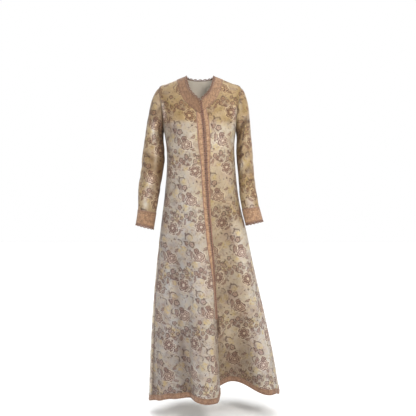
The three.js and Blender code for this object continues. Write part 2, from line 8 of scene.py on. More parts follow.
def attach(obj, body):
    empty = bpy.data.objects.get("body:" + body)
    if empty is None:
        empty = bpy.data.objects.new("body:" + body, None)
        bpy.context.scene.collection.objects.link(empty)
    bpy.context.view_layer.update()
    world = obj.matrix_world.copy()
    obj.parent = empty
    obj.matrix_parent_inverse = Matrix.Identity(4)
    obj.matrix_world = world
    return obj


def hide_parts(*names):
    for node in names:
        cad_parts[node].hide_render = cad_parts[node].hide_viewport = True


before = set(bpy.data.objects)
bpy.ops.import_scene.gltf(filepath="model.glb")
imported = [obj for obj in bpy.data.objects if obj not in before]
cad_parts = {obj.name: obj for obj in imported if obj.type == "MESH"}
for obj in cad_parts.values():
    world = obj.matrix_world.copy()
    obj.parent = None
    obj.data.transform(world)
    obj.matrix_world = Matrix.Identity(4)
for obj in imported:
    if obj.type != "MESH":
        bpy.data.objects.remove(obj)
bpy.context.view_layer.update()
print("frame loaded")

mm = 0.001


def mix(a, b, t):
    return a + (b - a) * t


def clamp(value, low=0.0, high=1.0):
    return min(high, max(low, value))


def smooth(t):
    t = clamp(t)
    return t * t * (3 - 2 * t)


def sineCosine(degrees):
    turn = math.radians(degrees)
    return math.sin(turn), math.cos(turn)


def runLengths(points):
    lengths = [0.0]
    for near, far in zip(points, points[1:]):
        lengths.append(lengths[-1] + (far - near).length)
    return lengths


def bump(t):
    return 0.5 + 0.5 * math.cos(math.pi * t) if abs(t) < 1 else 0.0


# Body sections from the neckline to the hem, in millimetres. zFront, zSide and zBack are heights at
# the centre front, the sides and the centre back; vee and power shape the rise between them.
bodyColumns = ("zFront", "zSide", "zBack", "xRight", "xLeft", "front", "back", "centre", "vee", "power")
bodyForm = {
    "neck": (-125, 0, -6, -66, 66, -95, 62, 5, 0.5, 6),
    "band": (-179, -14, -44, -101, 101, -107, 82, 10, 0.5, 5.5),
    "mid": (-197, -30, -73, -140, 140, -111, 90, 12, 0.5, 5),
    "tip": (-215, -48, -104, -179, 179, -114, 95, 15, 0.5, 5),
    "arm": (-252, -115, -180, -182, 180, -117, 100, 19, 0.45, 4.5),
    "under": (-300, -240, -262, -158, 157, -119, 100, 22, 0.3, 3),
    "bust": (-348, -315, -328, -147, 151, -119, 98, 25, 0, 2),
    "waist": (-410, -404, -405, -146, 156, -117, 98, 27, 0, 2),
    "hip": (-540, -540, -540, -158, 171, -116, 106, 34, 0, 2),
    "thigh": (-690, -690, -690, -176, 206, -118, 120, 47, 0, 2),
    "knee": (-860, -860, -860, -194, 242, -119, 136, 59, 0, 2),
    "slit": (-1046, -1046, -1046, -209, 285, -118, 151, 70, 0, 2),
    "shin": (-1220, -1220, -1220, -217, 319, -114, 164, 79, 0, 2),
    "hem": (-1400, -1400, -1400, -222, 348, -110, 176, 88, 0, 2),
}
bodyTable = [dict(zip(bodyColumns, values)) for values in bodyForm.values()]
rowOf = {name: index for index, name in enumerate(bodyForm)}
# Fullness of the sections at the shoulder tip and lower down, and the rise of the back neck.
sectionShape = {"fullTop": 0.76, "fullLow": 0.9, "fullOver": 4, "backPower": 2.6}
# Seams and bands: armholeDip and sideSwing in degrees, the rest in millimetres.
cut = {"armholeDip": 25, "sideSwing": 17, "seamGap": 0.3, "buttonLane": 4.5, "hemBand": 24}
# The opening below the last button: overlap in degrees, the rest in rows.
slit = {"overlap": 5, "opensOver": 1.1, "tuckFrom": 0.45, "tuckOver": 1.3}

# How the centre front hangs from the waist down: depth of the tube beside the opening, depth of
# the recess behind it, and the flank between them with its shift to the left.
hangColumns = ("tube", "recess", "flank", "shift")
hangForm = {
    "waist": (0, 0, 6, 6),
    "hip": (2, 10, 5, 5),
    "thigh": (8, 27, 5, 4),
    "knee": (20, 42, 7, 1),
    "slit": (33, 58, 10, -2),
    "shin": (46, 78, 13, -2),
    "hem": (58, 98, 14, 0),
}
hangTable = [dict(zip(hangColumns, values)) for values in hangForm.values()]
tube = {"crest": -12, "halfTop": 16, "halfHem": 13.5, "roundness": 0.75}
recess = {"deepest": 11, "nearEdge": 0.62, "reach": 52, "lift": 50, "liftAngle": 10, "liftReach": 34}

# Folds of the skirt: first row, angle there and at the hem, half width in degrees, depth outwards.
skirtFolds = {
    "rightTrough": ("thigh", -38, -24, 9, -12),
    "rightSwell": ("thigh", -52, -46, 16, 7),
    "rightSideTrough": ("knee", -72, -66, 9, -6),
    "leftSwell": ("thigh", 48, 52, 20, 14),
    "leftSideTrough": ("knee", 76, 78, 12, -7),
    "backLeftSwell": ("thigh", 108, 105, 16, 13),
    "backLeftTrough": ("hip", 134, 131, 14, -20),
    "backLeftTube": ("hip", 156, 158, 16, 24),
    "backCentreTrough": ("thigh", 181, 186, 14, -22),
    "backRightTube": ("hip", 207, 213, 17, 21),
    "backRightTrough": ("thigh", 234, 240, 13, -15),
    "backRightSwell": ("knee", 262, 262, 14, 6),
}
# Softer ripples between the main folds.
skirtRipples = {
    "rightPleat": ("slit", -36, -35, 5, 3),
    "rightFlute": ("hip", -60, -57, 6, -2.5),
    "rightFlank": ("waist", -28, -33, 6, -2),
    "leftFlute": ("knee", 36, 38, 6, -4),
    "leftRidge": ("slit", 62, 64, 6, 4),
    "leftHollow": ("hip", 66, 70, 8, -3),
    "backLeftFlute": ("knee", 120, 118, 5, 3),
    "backMiddle": ("waist", 170, 170, 7, -3),
    "backCrest": ("knee", 198, 200, 5, 3.5),
    "backRightFlute": ("hip", 224, 226, 6, -3),
    "backRightPleat": ("slit", 250, 252, 6, 4),
}
foldGrowth = 1.15  # above 1, a fold is at its full depth before it reaches the hem

# Lift of the hem: angle from the centre front and height in millimetres.
hemLift = [
    (-90, -20), (-60, -4), (-38, 14), (-22, 20), (-7, 15), (15, 14), (45, 24),
    (65, 24), (90, 8), (135, 18), (185, 22), (230, 8), (270, -20),
]


def readColumn(table, key, row):
    last = len(table) - 1
    at = clamp(row, 0, last)
    i = min(int(at), last - 1)
    t = at - i
    p1 = table[i][key]
    p2 = table[i + 1][key]
    p0 = table[i - 1][key] if i > 0 else 2 * p1 - p2
    p3 = table[i + 2][key] if i + 2 <= last else 2 * p2 - p1
    bend = 2 * p0 - 5 * p1 + 4 * p2 - p3
    return 0.5 * (2 * p1 + (p2 - p0) * t + bend * t * t + (3 * p1 - p0 - 3 * p2 + p3) * t**3)


def readSteps(steps, place):
    for (here, low), (there, high) in zip(steps, steps[1:]):
        if place <= there:
            return mix(low, high, smooth((place - here) / (there - here)))
    return steps[-1][1]


@lru_cache(maxsize=None)
def sectionAt(row):
    found = {key: readColumn(bodyTable, key, row) for key in bodyColumns}
    found["middle"] = (found["xLeft"] + found["xRight"]) / 2
    half = (found["xLeft"] - found["xRight"]) / 2
    found["half"] = half
    shape = sectionShape
    found["full"] = mix(shape["fullTop"], shape["fullLow"], clamp((row - rowOf["tip"]) / shape["fullOver"]))
    found["centreAngle"] = math.degrees(math.asin((found["centre"] - found["middle"]) / half))
    below = row - rowOf["waist"]
    for key in hangColumns:
        found[key] = readColumn(hangTable, key, below)
    found["flank"] = math.degrees(found["flank"] / half)
    found["shift"] = math.degrees(found["shift"] / half)
    found["skirt"] = clamp(below / (rowOf["hem"] - rowOf["waist"]))
    found["slitOpen"] = smooth((row - rowOf["slit"]) / slit["opensOver"])
    found["tuck"] = slit["overlap"] * smooth((row - rowOf["slit"] - slit["tuckFrom"]) / slit["tuckOver"])
    found["hemShare"] = smooth((row - rowOf["slit"]) / (rowOf["hem"] - rowOf["slit"]))
    found["folds"] = []
    for start, angleTop, angleHem, half, depth in (*skirtFolds.values(), *skirtRipples.values()):
        down = (row - rowOf[start]) / (rowOf["hem"] - rowOf[start])
        if down > 0:
            found["folds"].append((mix(angleTop, angleHem, down), half, depth * smooth(down * foldGrowth)))
    return found


def frontHang(angle, row, side):
    if abs(angle) > 90 or row <= rowOf["waist"]:
        return 0, 0
    s = sectionAt(row)
    fromCentre = angle - s["centreAngle"]
    t = (fromCentre - tube["crest"]) / mix(tube["halfTop"], tube["halfHem"], s["skirt"])
    swell = s["tube"] * (1 - t * t) ** tube["roundness"] if abs(t) < 1 else 0
    deepest = smooth((fromCentre + slit["overlap"]) / (recess["deepest"] + slit["overlap"]))
    fade = 1 - smooth((fromCentre - recess["deepest"]) / (recess["reach"] - recess["deepest"]))
    hollow = mix(recess["nearEdge"], 1, deepest) * fade
    over = smooth((fromCentre - s["shift"] + s["flank"]) / (2 * s["flank"]))
    if side == "left":
        over = max(over, s["slitOpen"])
    raised = recess["lift"] * bump((fromCentre - recess["liftAngle"]) / recess["liftReach"])
    return mix(swell, -s["recess"] * hollow, over), over * raised * s["hemShare"]


def foldDepth(angle, row):
    fold = 0.0
    for middle, half, deep in sectionAt(row)["folds"]:
        fold += deep * bump(((angle - middle + 540) % 360 - 180) / half)
    return fold


def bodyPoint(angle, row, side="right"):
    s = sectionAt(row)
    sine, cosine = sineCosine(angle)
    forward = cosine >= 0
    depth = s["front"] if forward else s["back"]
    reach = abs(sine)
    if forward:
        rise = s["vee"] * reach + (1 - s["vee"]) * reach ** s["power"]
    else:
        rise = reach ** sectionShape["backPower"]
    fold = foldDepth(angle, row)
    out, lift = frontHang(angle, row, side)
    turn = (angle + 450) % 360 - 90
    lift += readSteps(hemLift, turn) * s["hemShare"]
    top = s["zFront"] if forward else s["zBack"]
    return Vector((
        s["middle"] + (s["half"] + fold) * sine,
        depth * abs(cosine) ** s["full"] - fold * cosine - out,
        mix(top, s["zSide"], rise) + lift,
    ))


def walkRound(angle, row, side, distance, direction, step=0.25):
    here = angle
    left = distance
    point = bodyPoint(here, row, side)
    while abs(here - angle) < 100:
        onward = bodyPoint(here + step * direction, row, side)
        length = (onward - point).length
        if length >= left:
            return here + step * direction * (left / length)
        left -= length
        here += step * direction
        point = onward
    return here


# The armhole seam, from the shoulder tip (share 0) to the underarm (share 1).
def armholeRow(share):
    return mix(rowOf["tip"], rowOf["under"], (share + (1 - math.cos(share * math.pi)) / 2) / 2)


def armholeDip(share):
    return cut["armholeDip"] * math.sin(share * math.pi)


@lru_cache(maxsize=None)
def dipAt(row):
    if not rowOf["tip"] < row < rowOf["under"]:
        return 0.0
    low, high = 0.0, 1.0
    for _ in range(30):
        share = (low + high) / 2
        if armholeRow(share) < row:
            low = share
        else:
            high = share
    return armholeDip(share)


def sideSeam(row):
    return -90 + cut["sideSwing"] * smooth((row - rowOf["waist"]) / (rowOf["knee"] - rowOf["waist"]))


# Fine rows of the woven panels. The last few lie under the hem braid.
grid = {
    "rowStep": 6.5,
    "armholeSteps": 30,
    "bandColumns": 10,
    "frontColumns": 50,
    "backColumns": 104,
    "hemRows": 5,
}


def panelRows():
    rows = []
    for i in range(len(bodyTable) - 1):
        if i == rowOf["tip"]:
            rows += [armholeRow(k / grid["armholeSteps"]) for k in range(grid["armholeSteps"])]
        if rowOf["tip"] <= i < rowOf["under"]:
            continue
        drop = max(abs(bodyTable[i + 1][key] - bodyTable[i][key]) for key in ("zFront", "zSide", "zBack"))
        count = round(drop / grid["rowStep"])
        if i == len(bodyTable) - 2:
            top = 1 - cut["hemBand"] / drop
            rows += [i + top * k / count for k in range(count)]
            rows += [i + mix(top, 1, k / grid["hemRows"]) for k in range(grid["hemRows"] + 1)]
        else:
            rows += [i + k / count for k in range(count)]
    return rows


rows = panelRows()
bandRow = rows.index(rowOf["band"])
slitRow = rows.index(rowOf["slit"])
# Widths of the front bands at the neck and below the bust, and how far the columns of each front
# crowd towards its band.
frontBand = {"right": {"top": 26, "low": 17}, "left": {"top": 20, "low": 12}}
crowding = {"right": 1.15, "left": 1.05}


def frontAngles(row, side):
    direction = -1 if side == "right" else 1
    s = sectionAt(row)
    edge = s["centreAngle"] - (s["tuck"] if side == "left" else 0)
    narrowed = smooth((row - rowOf["under"]) / (rowOf["waist"] - rowOf["under"]))
    braid = mix(frontBand[side]["top"], frontBand[side]["low"], narrowed)
    angles = []
    here = edge
    walked = 0
    lane = cut["buttonLane"]
    steps = [cut["seamGap"] / 2]
    steps += [lane + braid * k / grid["bandColumns"] for k in range(grid["bandColumns"] + 1)]
    for distance in steps:
        here = walkRound(here, row, side, distance - walked, direction)
        walked = distance
        angles.append(here)
    seam = sideSeam(row) if side == "right" else 90
    end = walkRound(seam - direction * dipAt(row), row, side, cut["seamGap"] / 2, -direction)
    count = grid["frontColumns"]
    return angles + [mix(here, end, (k / count) ** crowding[side]) for k in range(1, count + 1)]


def backAngles(row, side):
    start = walkRound(90 + dipAt(row), row, side, cut["seamGap"] / 2, 1)
    end = walkRound(sideSeam(row) + 360 - dipAt(row), row, side, cut["seamGap"] / 2, -1)
    return [mix(start, end, k / grid["backColumns"]) for k in range(grid["backColumns"] + 1)]


# Creases of the body cloth, in millimetres: from (x, z) to (x, z), half width and depth outwards.
frontCreases = [
    ((-176, -95), (-150, -180), 9, 4.0), ((-150, -180), (-146, -250), 8, 3.0),
    ((-160, -120), (-138, -215), 7, -3.5), ((-142, -262), (-70, -300), 10, -2.6),
    ((-146, -300), (-92, -330), 8, 2.0), ((-140, -352), (-60, -372), 9, -2.2),
    ((-135, -420), (-40, -402), 10, 1.8), ((-150, -520), (-70, -470), 13, -2.4),
    ((-130, -640), (-118, -820), 12, -2.2), ((-60, -560), (-72, -760), 13, 1.8),
    ((150, -110), (142, -215), 8, 3.4), ((132, -140), (128, -232), 7, -3.0),
    ((148, -262), (86, -306), 9, -2.6), ((146, -312), (92, -340), 8, 2.0),
    ((150, -372), (70, -392), 9, -2.0), ((150, -470), (74, -452), 11, 1.8),
    ((168, -560), (120, -520), 12, -2.2), ((120, -600), (136, -800), 14, -2.6),
    ((176, -650), (204, -880), 12, 2.0), ((84, -760), (100, -960), 12, 2.0),
]
backCreases = [
    ((-160, -130), (-120, -210), 9, 3.4), ((158, -130), (118, -215), 9, 3.2),
    ((-140, -255), (-50, -300), 11, -2.6), ((140, -262), (52, -304), 11, -2.4),
    ((-120, -392), (-30, -404), 10, -2.6), ((122, -396), (26, -410), 10, -2.4),
    ((-90, -430), (90, -436), 11, 1.8), ((-60, -330), (70, -342), 12, 1.6),
    ((-70, -520), (-86, -700), 14, -2.4), ((76, -520), (98, -720), 14, -2.4),
]


# Each crease runs a little past its ends and fades there. reach is in half widths.
creaseEnds = {"from": -0.15, "to": 1.15, "fade": 0.35, "reach": 2.2}


def creaseDepth(x, z, creases):
    depth = 0.0
    for (ax, az), (bx, bz), half, deep in creases:
        dx = bx - ax
        dz = bz - az
        span = dx * dx + dz * dz
        t = clamp(((x - ax) * dx + (z - az) * dz) / span, creaseEnds["from"], creaseEnds["to"])
        away = math.hypot(x - ax - t * dx, z - az - t * dz)
        if away < creaseEnds["reach"] * half:
            fade = creaseEnds["fade"]
            ends = smooth((t - creaseEnds["from"]) / fade) * smooth((creaseEnds["to"] - t) / fade)
            depth += deep * ends * math.exp(-((away / half) ** 2))
    return depth


def unevenness(point, size, deep):
    return deep * noise.noise(point / size)


# Creases fade out beside the bands and seams (columns) and at the neck and hem (rows).
calm = {"band": 12, "seam": 8, "neck": 1.2, "hem": 0.4}
uneven = {"body": (46, 1.6), "sleeve": (34, 1.4)}  # size and depth of the cloth's unevenness, in mm
reliefShare = {"hang": 0.4, "crease": 3}


def clothGrid(anglesOf, side, creases):
    points = []
    relief = []
    for row in rows:
        line = []
        depths = []
        angles = anglesOf(row, side)
        last = len(angles) - 1
        for c, angle in enumerate(angles):
            point = bodyPoint(angle, row, side)
            fade = smooth(c / calm["band"]) * smooth((last - c) / calm["seam"])
            fade *= smooth((row - rowOf["band"]) / calm["neck"])
            fade *= smooth((rowOf["hem"] - row) / calm["hem"])
            sine, cosine = sineCosine(angle)
            deep = creaseDepth(point.x, point.z, creases) + unevenness(point, *uneven["body"])
            line.append(point + Vector((sine, -cosine, 0)) * deep * fade)
            hang = reliefShare["hang"] * frontHang(angle, row, side)[0]
            depths.append(foldDepth(angle, row) + hang + reliefShare["crease"] * deep * fade)
        points.append(line)
        relief.append(depths)
    return points, relief


def gridNormals(points, closed=False, flip=False):
    rowCount = len(points)
    count = len(points[0])
    normals = []
    for r in range(rowCount):
        line = []
        above = points[max(r - 1, 0)]
        below = points[min(r + 1, rowCount - 1)]
        for c in range(count):
            if closed:
                across = points[r][(c + 1) % count] - points[r][c - 1]
            else:
                across = points[r][min(c + 1, count - 1)] - points[r][max(c - 1, 0)]
            normal = across.cross(below[c] - above[c]).normalized()
            line.append(-normal if flip else normal)
        normals.append(line)
    return normals


# A piece is a closed wall between two offsets (mm) along the normals of a grid. grain gives each
# point's place on the flat cloth, tones its colour tone.
def makeWall(
    name, points, normals, outer, inner, grain, tones, finishes, closed=False, wrap=None, wrapV=0.0
):
    rowCount = len(points)
    count = len(points[0])
    verts = []
    for layer in (outer, inner):
        for r in range(rowCount):
            for c in range(count):
                offset = layer(r, c) if callable(layer) else layer
                verts.append((points[r][c] + normals[r][c] * offset) * mm)
    size = rowCount * count
    spans = count if closed else count - 1
    faces = []
    corners = []
    inside = []

    def addFace(cells, isInside):
        faces.append([layer * size + r * count + c % count for layer, r, c in cells])
        corners.extend((r, c) for _, r, c in cells)
        inside.append(isInside)

    for r in range(rowCount - 1):
        for c in range(spans):
            addFace([(0, r, c), (0, r + 1, c), (0, r + 1, c + 1), (0, r, c + 1)], False)
            addFace([(1, r, c), (1, r, c + 1), (1, r + 1, c + 1), (1, r + 1, c)], True)
    for c in range(spans):
        last = rowCount - 1
        addFace([(0, 0, c), (0, 0, c + 1), (1, 0, c + 1), (1, 0, c)], False)
        addFace([(0, last, c), (1, last, c), (1, last, c + 1), (0, last, c + 1)], False)
    if not closed:
        for r in range(rowCount - 1):
            last = count - 1
            addFace([(0, r, 0), (1, r, 0), (1, r + 1, 0), (0, r + 1, 0)], False)
            addFace([(0, r, last), (0, r + 1, last), (1, r + 1, last), (1, r, last)], False)
    mesh = newMesh(name, verts, faces)
    layer = mesh.uv_layers.new(name="grain")
    flat = []
    for r, c in corners:
        u, v = grain[r][c % count]
        if c >= count:
            u += wrap[r] if wrap else 0
            v += wrapV
        flat += (u * mm, v * mm)
    layer.data.foreach_set("uv", flat)
    tone = mesh.color_attributes.new("tone", "FLOAT_COLOR", "POINT")
    values = [part for _ in range(2) for line in tones for four in line for part in four]
    tone.data.foreach_set("color", values)
    for polygon, isInside in zip(mesh.polygons, inside):
        polygon.material_index = 1 if isInside and len(finishes) > 1 else 0
    return finishMesh(name, mesh, finishes)


def newMesh(name, verts, faces):
    mesh = bpy.data.meshes.new(name)
    mesh.from_pydata(verts, [], faces)
    return mesh


def addObject(name, data):
    piece = bpy.data.objects.new(name, data)
    bpy.context.scene.collection.objects.link(piece)
    return piece


def finishMesh(name, mesh, finishes, crease=50):
    for finish in finishes:
        mesh.materials.append(finish)
    mesh.validate()
    mesh.polygons.foreach_set("use_smooth", [True] * len(mesh.polygons))
    mesh.set_sharp_from_angle(angle=math.radians(crease))
    fixFacing(mesh)
    return addObject(name, mesh)


def fixFacing(mesh):
    mesh.calc_loop_triangles()
    volume = 0.0
    for triangle in mesh.loop_triangles:
        a, b, c = (mesh.vertices[i].co for i in triangle.vertices)
        volume += a.dot(b.cross(c))
    if volume < 0:
        mesh.flip_normals()


# Cords and threads: one mesh of round tubes, each through its own points (mm).
def makeTubes(name, paths, finishes, sides=8):
    verts = []
    faces = []
    for points, radius, closed in paths:
        base = len(verts)
        count = len(points)
        for i, point in enumerate(points):
            ahead = points[(i + 1) % count] if closed else points[min(i + 1, count - 1)]
            behind = points[i - 1] if closed or i else points[0]
            tangent = (ahead - behind).normalized()
            aside = tangent.orthogonal() if i == 0 else aside - tangent * aside.dot(tangent)
            aside = aside.normalized()
            over = tangent.cross(aside)
            for k in range(sides):
                turn = 2 * math.pi * k / sides
                around = aside * math.cos(turn) + over * math.sin(turn)
                verts.append((point + around * radius) * mm)
        for i in range(count if closed else count - 1):
            j = (i + 1) % count
            for k in range(sides):
                near = (k + 1) % sides
                here = base + i * sides
                there = base + j * sides
                faces.append([here + k, here + near, there + near, there + k])
        if not closed:
            faces.append([base + k for k in reversed(range(sides))])
            faces.append([base + (count - 1) * sides + k for k in range(sides)])
    return finishMesh(name, newMesh(name, verts, faces), finishes, 60)


# The grain of each piece: its place on the cloth, in millimetres. Warp threads run down the piece.
# tilt leans them sideways and droop lets the weft fall towards the side seams.
grain = {
    "right": {"shift": (0, 0), "tilt": 0.04, "droop": 0.16},
    "left": {"shift": (0, 0), "tilt": -0.117, "droop": 0.1},
    "back": {"shift": (34, 60), "tilt": 0.0, "droop": 0.1},
}
flowerAt = {"right": (-47, -420), "left": (94, -402)}  # an open blossom, from the centre front


def panelGrain(points, side):
    how = grain[side]
    placed = []
    for r, line in enumerate(points):
        lengths = [0.0]
        for near, far in zip(line, line[1:]):
            lengths.append(lengths[-1] + math.hypot(far.x - near.x, far.y - near.y))
        start = lengths[-1] / 2 if side == "back" else 0
        direction = 1 if side == "left" else -1
        flare = sectionAt(rows[r])["skirt"]
        row = []
        for point, length in zip(line, lengths):
            away = length - start
            u = direction * away + how["tilt"] * (point.z - flowerAt.get(side, (0, 0))[1])
            v = point.z + how["droop"] * abs(away) * flare
            row.append((u + how["shift"][0], v + how["shift"][1]))
        placed.append(row)
    return placed


# How the satin catches the light, painted into one colour a point: red is a painted gold
# reflection, green is painted shade and blue is a painted cool reflection.
def soften(place, edge, width):
    return smooth((place - edge) / width + 0.5)


cloudSize = {"body": 90, "sleeve": 70, "fine": 0.42}
# Painted shade in hollows and painted light on crests: the strength of each, and the depth in mm at which
# it is full.
hollows = {"dark": 0.38, "darkAt": 20, "light": 0.16, "lightAt": 22}


def clouds(point, size=cloudSize["body"]):
    return noise.noise(point / size) * 0.5 + noise.noise(point / (size * cloudSize["fine"])) * 0.25


def hollowShade(depth):
    dark = hollows["dark"] * smooth(-depth / hollows["darkAt"])
    return dark - hollows["light"] * smooth(depth / hollows["lightAt"])


# Soft streaks of painted satin highlight (silver) and of painted shade on the fronts: from and to
# (x, z), half width and strength. A negative shade strength paints light.
frontHighlights = [
    ((-162, -116), (-148, -200), 8, 1.1), ((154, -146), (147, -300), 13, 0.8),
    ((96, -230), (60, -330), 26, 0.35), ((-60, -520), (-64, -700), 26, 0.4),
    ((-110, -900), (-120, -1180), 30, 0.5), ((150, -640), (196, -860), 22, 0.5),
    ((230, -1080), (262, -1300), 30, 0.35),
]
frontShade = [
    ((-150, -206), (-96, -262), 16, 0.25), ((-158, -420), (-150, -560), 14, 0.25),
    ((-168, -620), (-196, -900), 12, 0.3), ((66, -430), (92, -640), 20, 0.2),
    ((120, -560), (96, -700), 16, 0.25), ((122, -980), (132, -1220), 30, -0.22),
    ((236, -1000), (262, -1260), 24, 0.22), ((0, -980), (8, -1280), 26, 0.14),
    ((-96, -740), (-100, -1000), 16, 0.2),
]


# Shade at the opening below the last button of the left front.
openingShade = [((73, -1044), (77, -1108), 7, 2.4)]
# A silver streak is a painted satin highlight.
highlightTakes = {"warm": 0.8, "shade": 0.3}  # what a silver streak takes from the other tones
mottling = {"warm": 0.25, "shade": 0.2, "cool": 0.2}

# Painted light: warm is a painted gold reflection and cool a painted cool reflection; shade is painted
# shade.
# The tones of each front: a base and soft steps (amount, measure, edge, width). The measures are
# away from the centre front or in towards it, down from the neck, and outer, which is away and low.
frontLight = {
    "right": {
        "warm": (0.34, [(0.26, "in", -30, 50), (-0.2, "down", 640, 500)]),
        "cool": (0.05, [(0.5, "away", 70, 100), (0.4, "down", 640, 500)]),
        "shade": (0.12, [(0.3, "away", 80, 90), (0.12, "down", 640, 500), (0.12, "down", 1000, 300)]),
        "goldReflectionShade": 0.02,
    },
    "left": {
        "warm": (0.5, [(0.25, "down", 480, 200), (-0.15, "down", 640, 400), (-0.3, "outer", 150, 90)]),
        "cool": (0.0, [(0.15, "away", 60, 60), (0.12, "down", 640, 400), (0.35, "outer", 150, 90)]),
        "shade": (0.02, [(0.1, "down", 420, 160), (0.16, "down", 1180, 200), (-0.1, "away", 150, 60)]),
        "goldReflectionShade": 0.2,
    },
}
outerFrom = (600, 300)
# Where the painted gold reflection over the upper chest and back begins and how softly, and the painted
# shade beside the armhole: how far out and up it reaches, and its strength.
goldReflectionEdge = {"front": (-212, 26), "back": (-190, 60)}
armholeEdge = {"away": (144, 20), "up": (-330, 60), "shade": 0.12}
# Shade beside the side seam and the band, and how far it reaches in columns.
edgeShade = {"seam": (0.7, 2), "band": (0.6, 1.5), "back": (0.5, 2)}
# The left front's edge at the opening: shade, more above a height, and its reach in columns.
openingEdge = {"shade": 0.4, "more": 0.6, "above": (-1120, 60), "past": 3, "over": 8}
turnedEdge = {"warm": 0.3, "shade": -0.3}  # the edge of the right front that is turned at the opening
backLight = {
    "warm": (0.4, 0.9),
    "side": 0.15,
    "sideFrom": (60, 160),
    "cool": 0.4,
    "coolFrom": (40, 160),
    "shade": 0.2,
}


def lightOf(how, away, down):
    base, steps = how
    for amount, measure, edge, width in steps:
        place = {"away": away, "outer": away, "in": -away, "down": down}[measure]
        low = soften(down, *outerFrom) if measure == "outer" else 1
        base += amount * soften(place, edge, width) * low
    return base


def mottle(warm, shade, cool, low):
    parts = zip((warm, shade, cool), mottling.values())
    return (*[clamp(tone + amount * low) for tone, amount in parts], 1)


def nearEdge(count, how):
    amount, width = how
    return amount * (1 - smooth(count / width))


# Painted light and shade at a point of a front: the gold and cool reflections, shade in hollows, by the
# seam, band and armhole and at the opening, painted highlight streaks, and a paler, unshaded turned edge at
# the opening.
def frontTone(point, relief, side, r, c, last):
    how = frontLight[side]
    away = abs(point.x - sectionAt(rows[r])["centre"])
    down = -point.z
    goldReflection = soften(point.z, *goldReflectionEdge["front"])
    armhole = soften(away, *armholeEdge["away"]) * soften(point.z, *armholeEdge["up"])
    warm = mix(lightOf(how["warm"], away, down), 1, goldReflection)
    cool = lightOf(how["cool"], away, down) * (1 - goldReflection)
    shade = lightOf(how["shade"], away, down) + how["goldReflectionShade"] * goldReflection
    shade += hollowShade(relief) + armholeEdge["shade"] * armhole + nearEdge(last - c, edgeShade["seam"])
    if r < slitRow:
        shade += nearEdge(c - 1, edgeShade["band"])
    elif side == "left":
        shade += creaseDepth(point.x, point.z, openingShade)
        opening = openingEdge["shade"] + openingEdge["more"] * soften(point.z, *openingEdge["above"])
        shade += nearEdge(c - openingEdge["past"], (opening, openingEdge["over"]))
    elif c < 2:
        warm = turnedEdge["warm"]
        shade = turnedEdge["shade"]
    # silver is the painted satin highlight of the streaks, which takes warmth and shade away
    silver = creaseDepth(point.x, point.z, frontHighlights)
    shade += creaseDepth(point.x, point.z, frontShade) - highlightTakes["shade"] * silver
    return mottle(warm - highlightTakes["warm"] * silver, shade, cool, clouds(point))


# Painted light and shade at a point of the back: the gold reflection high up and towards the left side, the
# cool reflection towards the right side, and shade in hollows and by the seams.
def backTone(point, relief, side, r, c, last):
    goldReflection = soften(point.z, *goldReflectionEdge["back"])
    warm = mix(*backLight["warm"], goldReflection) + backLight["side"] * soften(point.x, *backLight["sideFrom"])
    cool = backLight["cool"] * soften(-point.x, *backLight["coolFrom"]) * (1 - goldReflection)
    shade = backLight["shade"] + hollowShade(relief) + nearEdge(min(c, last - c), edgeShade["back"])
    return mottle(warm, shade, cool, clouds(point))


def panelTones(toneOf, points, relief, side):
    return [
        [toneOf(point, relief[r][c], side, r, c, len(line) - 1) for c, point in enumerate(line)]
        for r, line in enumerate(points)
    ]


# Node helpers: each takes numbers, colours or the outputs of other nodes, and adds to the tree that
# is being built.
building = {}


def addNode(kind):
    return building["tree"].nodes.new(f"ShaderNode{kind}")


def feed(value, socket):
    if isinstance(value, bpy.types.NodeSocket):
        building["tree"].links.new(value, socket)
    elif value is not None:
        socket.default_value = value


def feedAll(node, *values):
    for socket, value in zip(node.inputs, values):
        feed(value, socket)


def calc(operation, *values, limit=False):
    node = addNode("Math")
    node.operation = operation
    feedAll(node, *values)
    if not limit:
        return node.outputs[0]
    held = addNode("Clamp")
    feed(node.outputs[0], held.inputs[0])
    return held.outputs[0]


def chain(operation, *values):
    found = values[0]
    for value in values[1:]:
        found = calc(operation, found, value)
    return found


times = partial(chain, "MULTIPLY")
plus = partial(chain, "ADD")
minus = partial(calc, "SUBTRACT")
timesPlus = partial(calc, "MULTIPLY_ADD")
either = partial(chain, "MAXIMUM")
absolute = partial(calc, "ABSOLUTE")
wave = partial(calc, "SINE")
fraction = partial(calc, "FRACT")


def calcVector(operation, *values):
    node = addNode("VectorMath")
    node.operation = operation
    feedAll(node, *values)
    return node.outputs["Value" if operation == "DOT_PRODUCT" else "Vector"]


def splitVector(value):
    node = addNode("SeparateXYZ")
    feed(value, node.inputs[0])
    return node.outputs[0], node.outputs[1], node.outputs[2]


def joinVector(*parts):
    node = addNode("CombineXYZ")
    feedAll(node, *parts)
    return node.outputs[0]


def steep(value, slope, level=0.0):
    return timesPlus(value, slope, 0.5 - level * slope, limit=True)


def within(size, radius, slope):
    return steep(minus(size, radius), slope)


def blend(share, below, above, how="MIX"):
    node = addNode("Mix")
    node.data_type = "RGBA"
    node.blend_type = how
    for socket, value in ((0, share), (6, below), (7, above)):
        feed(value, node.inputs[socket])
    return node.outputs[2]


def roughNoise(place, scale, detail=2.0, out="Fac"):
    node = addNode("TexNoise")
    feed(place, node.inputs["Vector"])
    node.inputs["Scale"].default_value = scale
    node.inputs["Detail"].default_value = detail
    return node.outputs[out]


# Soft-edged patches of cloud, from the pale side of a rough noise.
def patchy(place, scale, detail, slope, level):
    return steep(roughNoise(place, scale, detail), slope, level)


def threadNoise(x, y, across, along, detail=2.0):
    return roughNoise(joinVector(times(x, across), times(y, along)), 1.0, detail)


def objectPlace():
    return addNode("TexCoord").outputs["Object"]


def srgb(*parts):
    parts = [part / 255 for part in parts]
    return (*[part / 12.92 if part <= 0.04045 else ((part + 0.055) / 1.055) ** 2.4 for part in parts], 1.0)


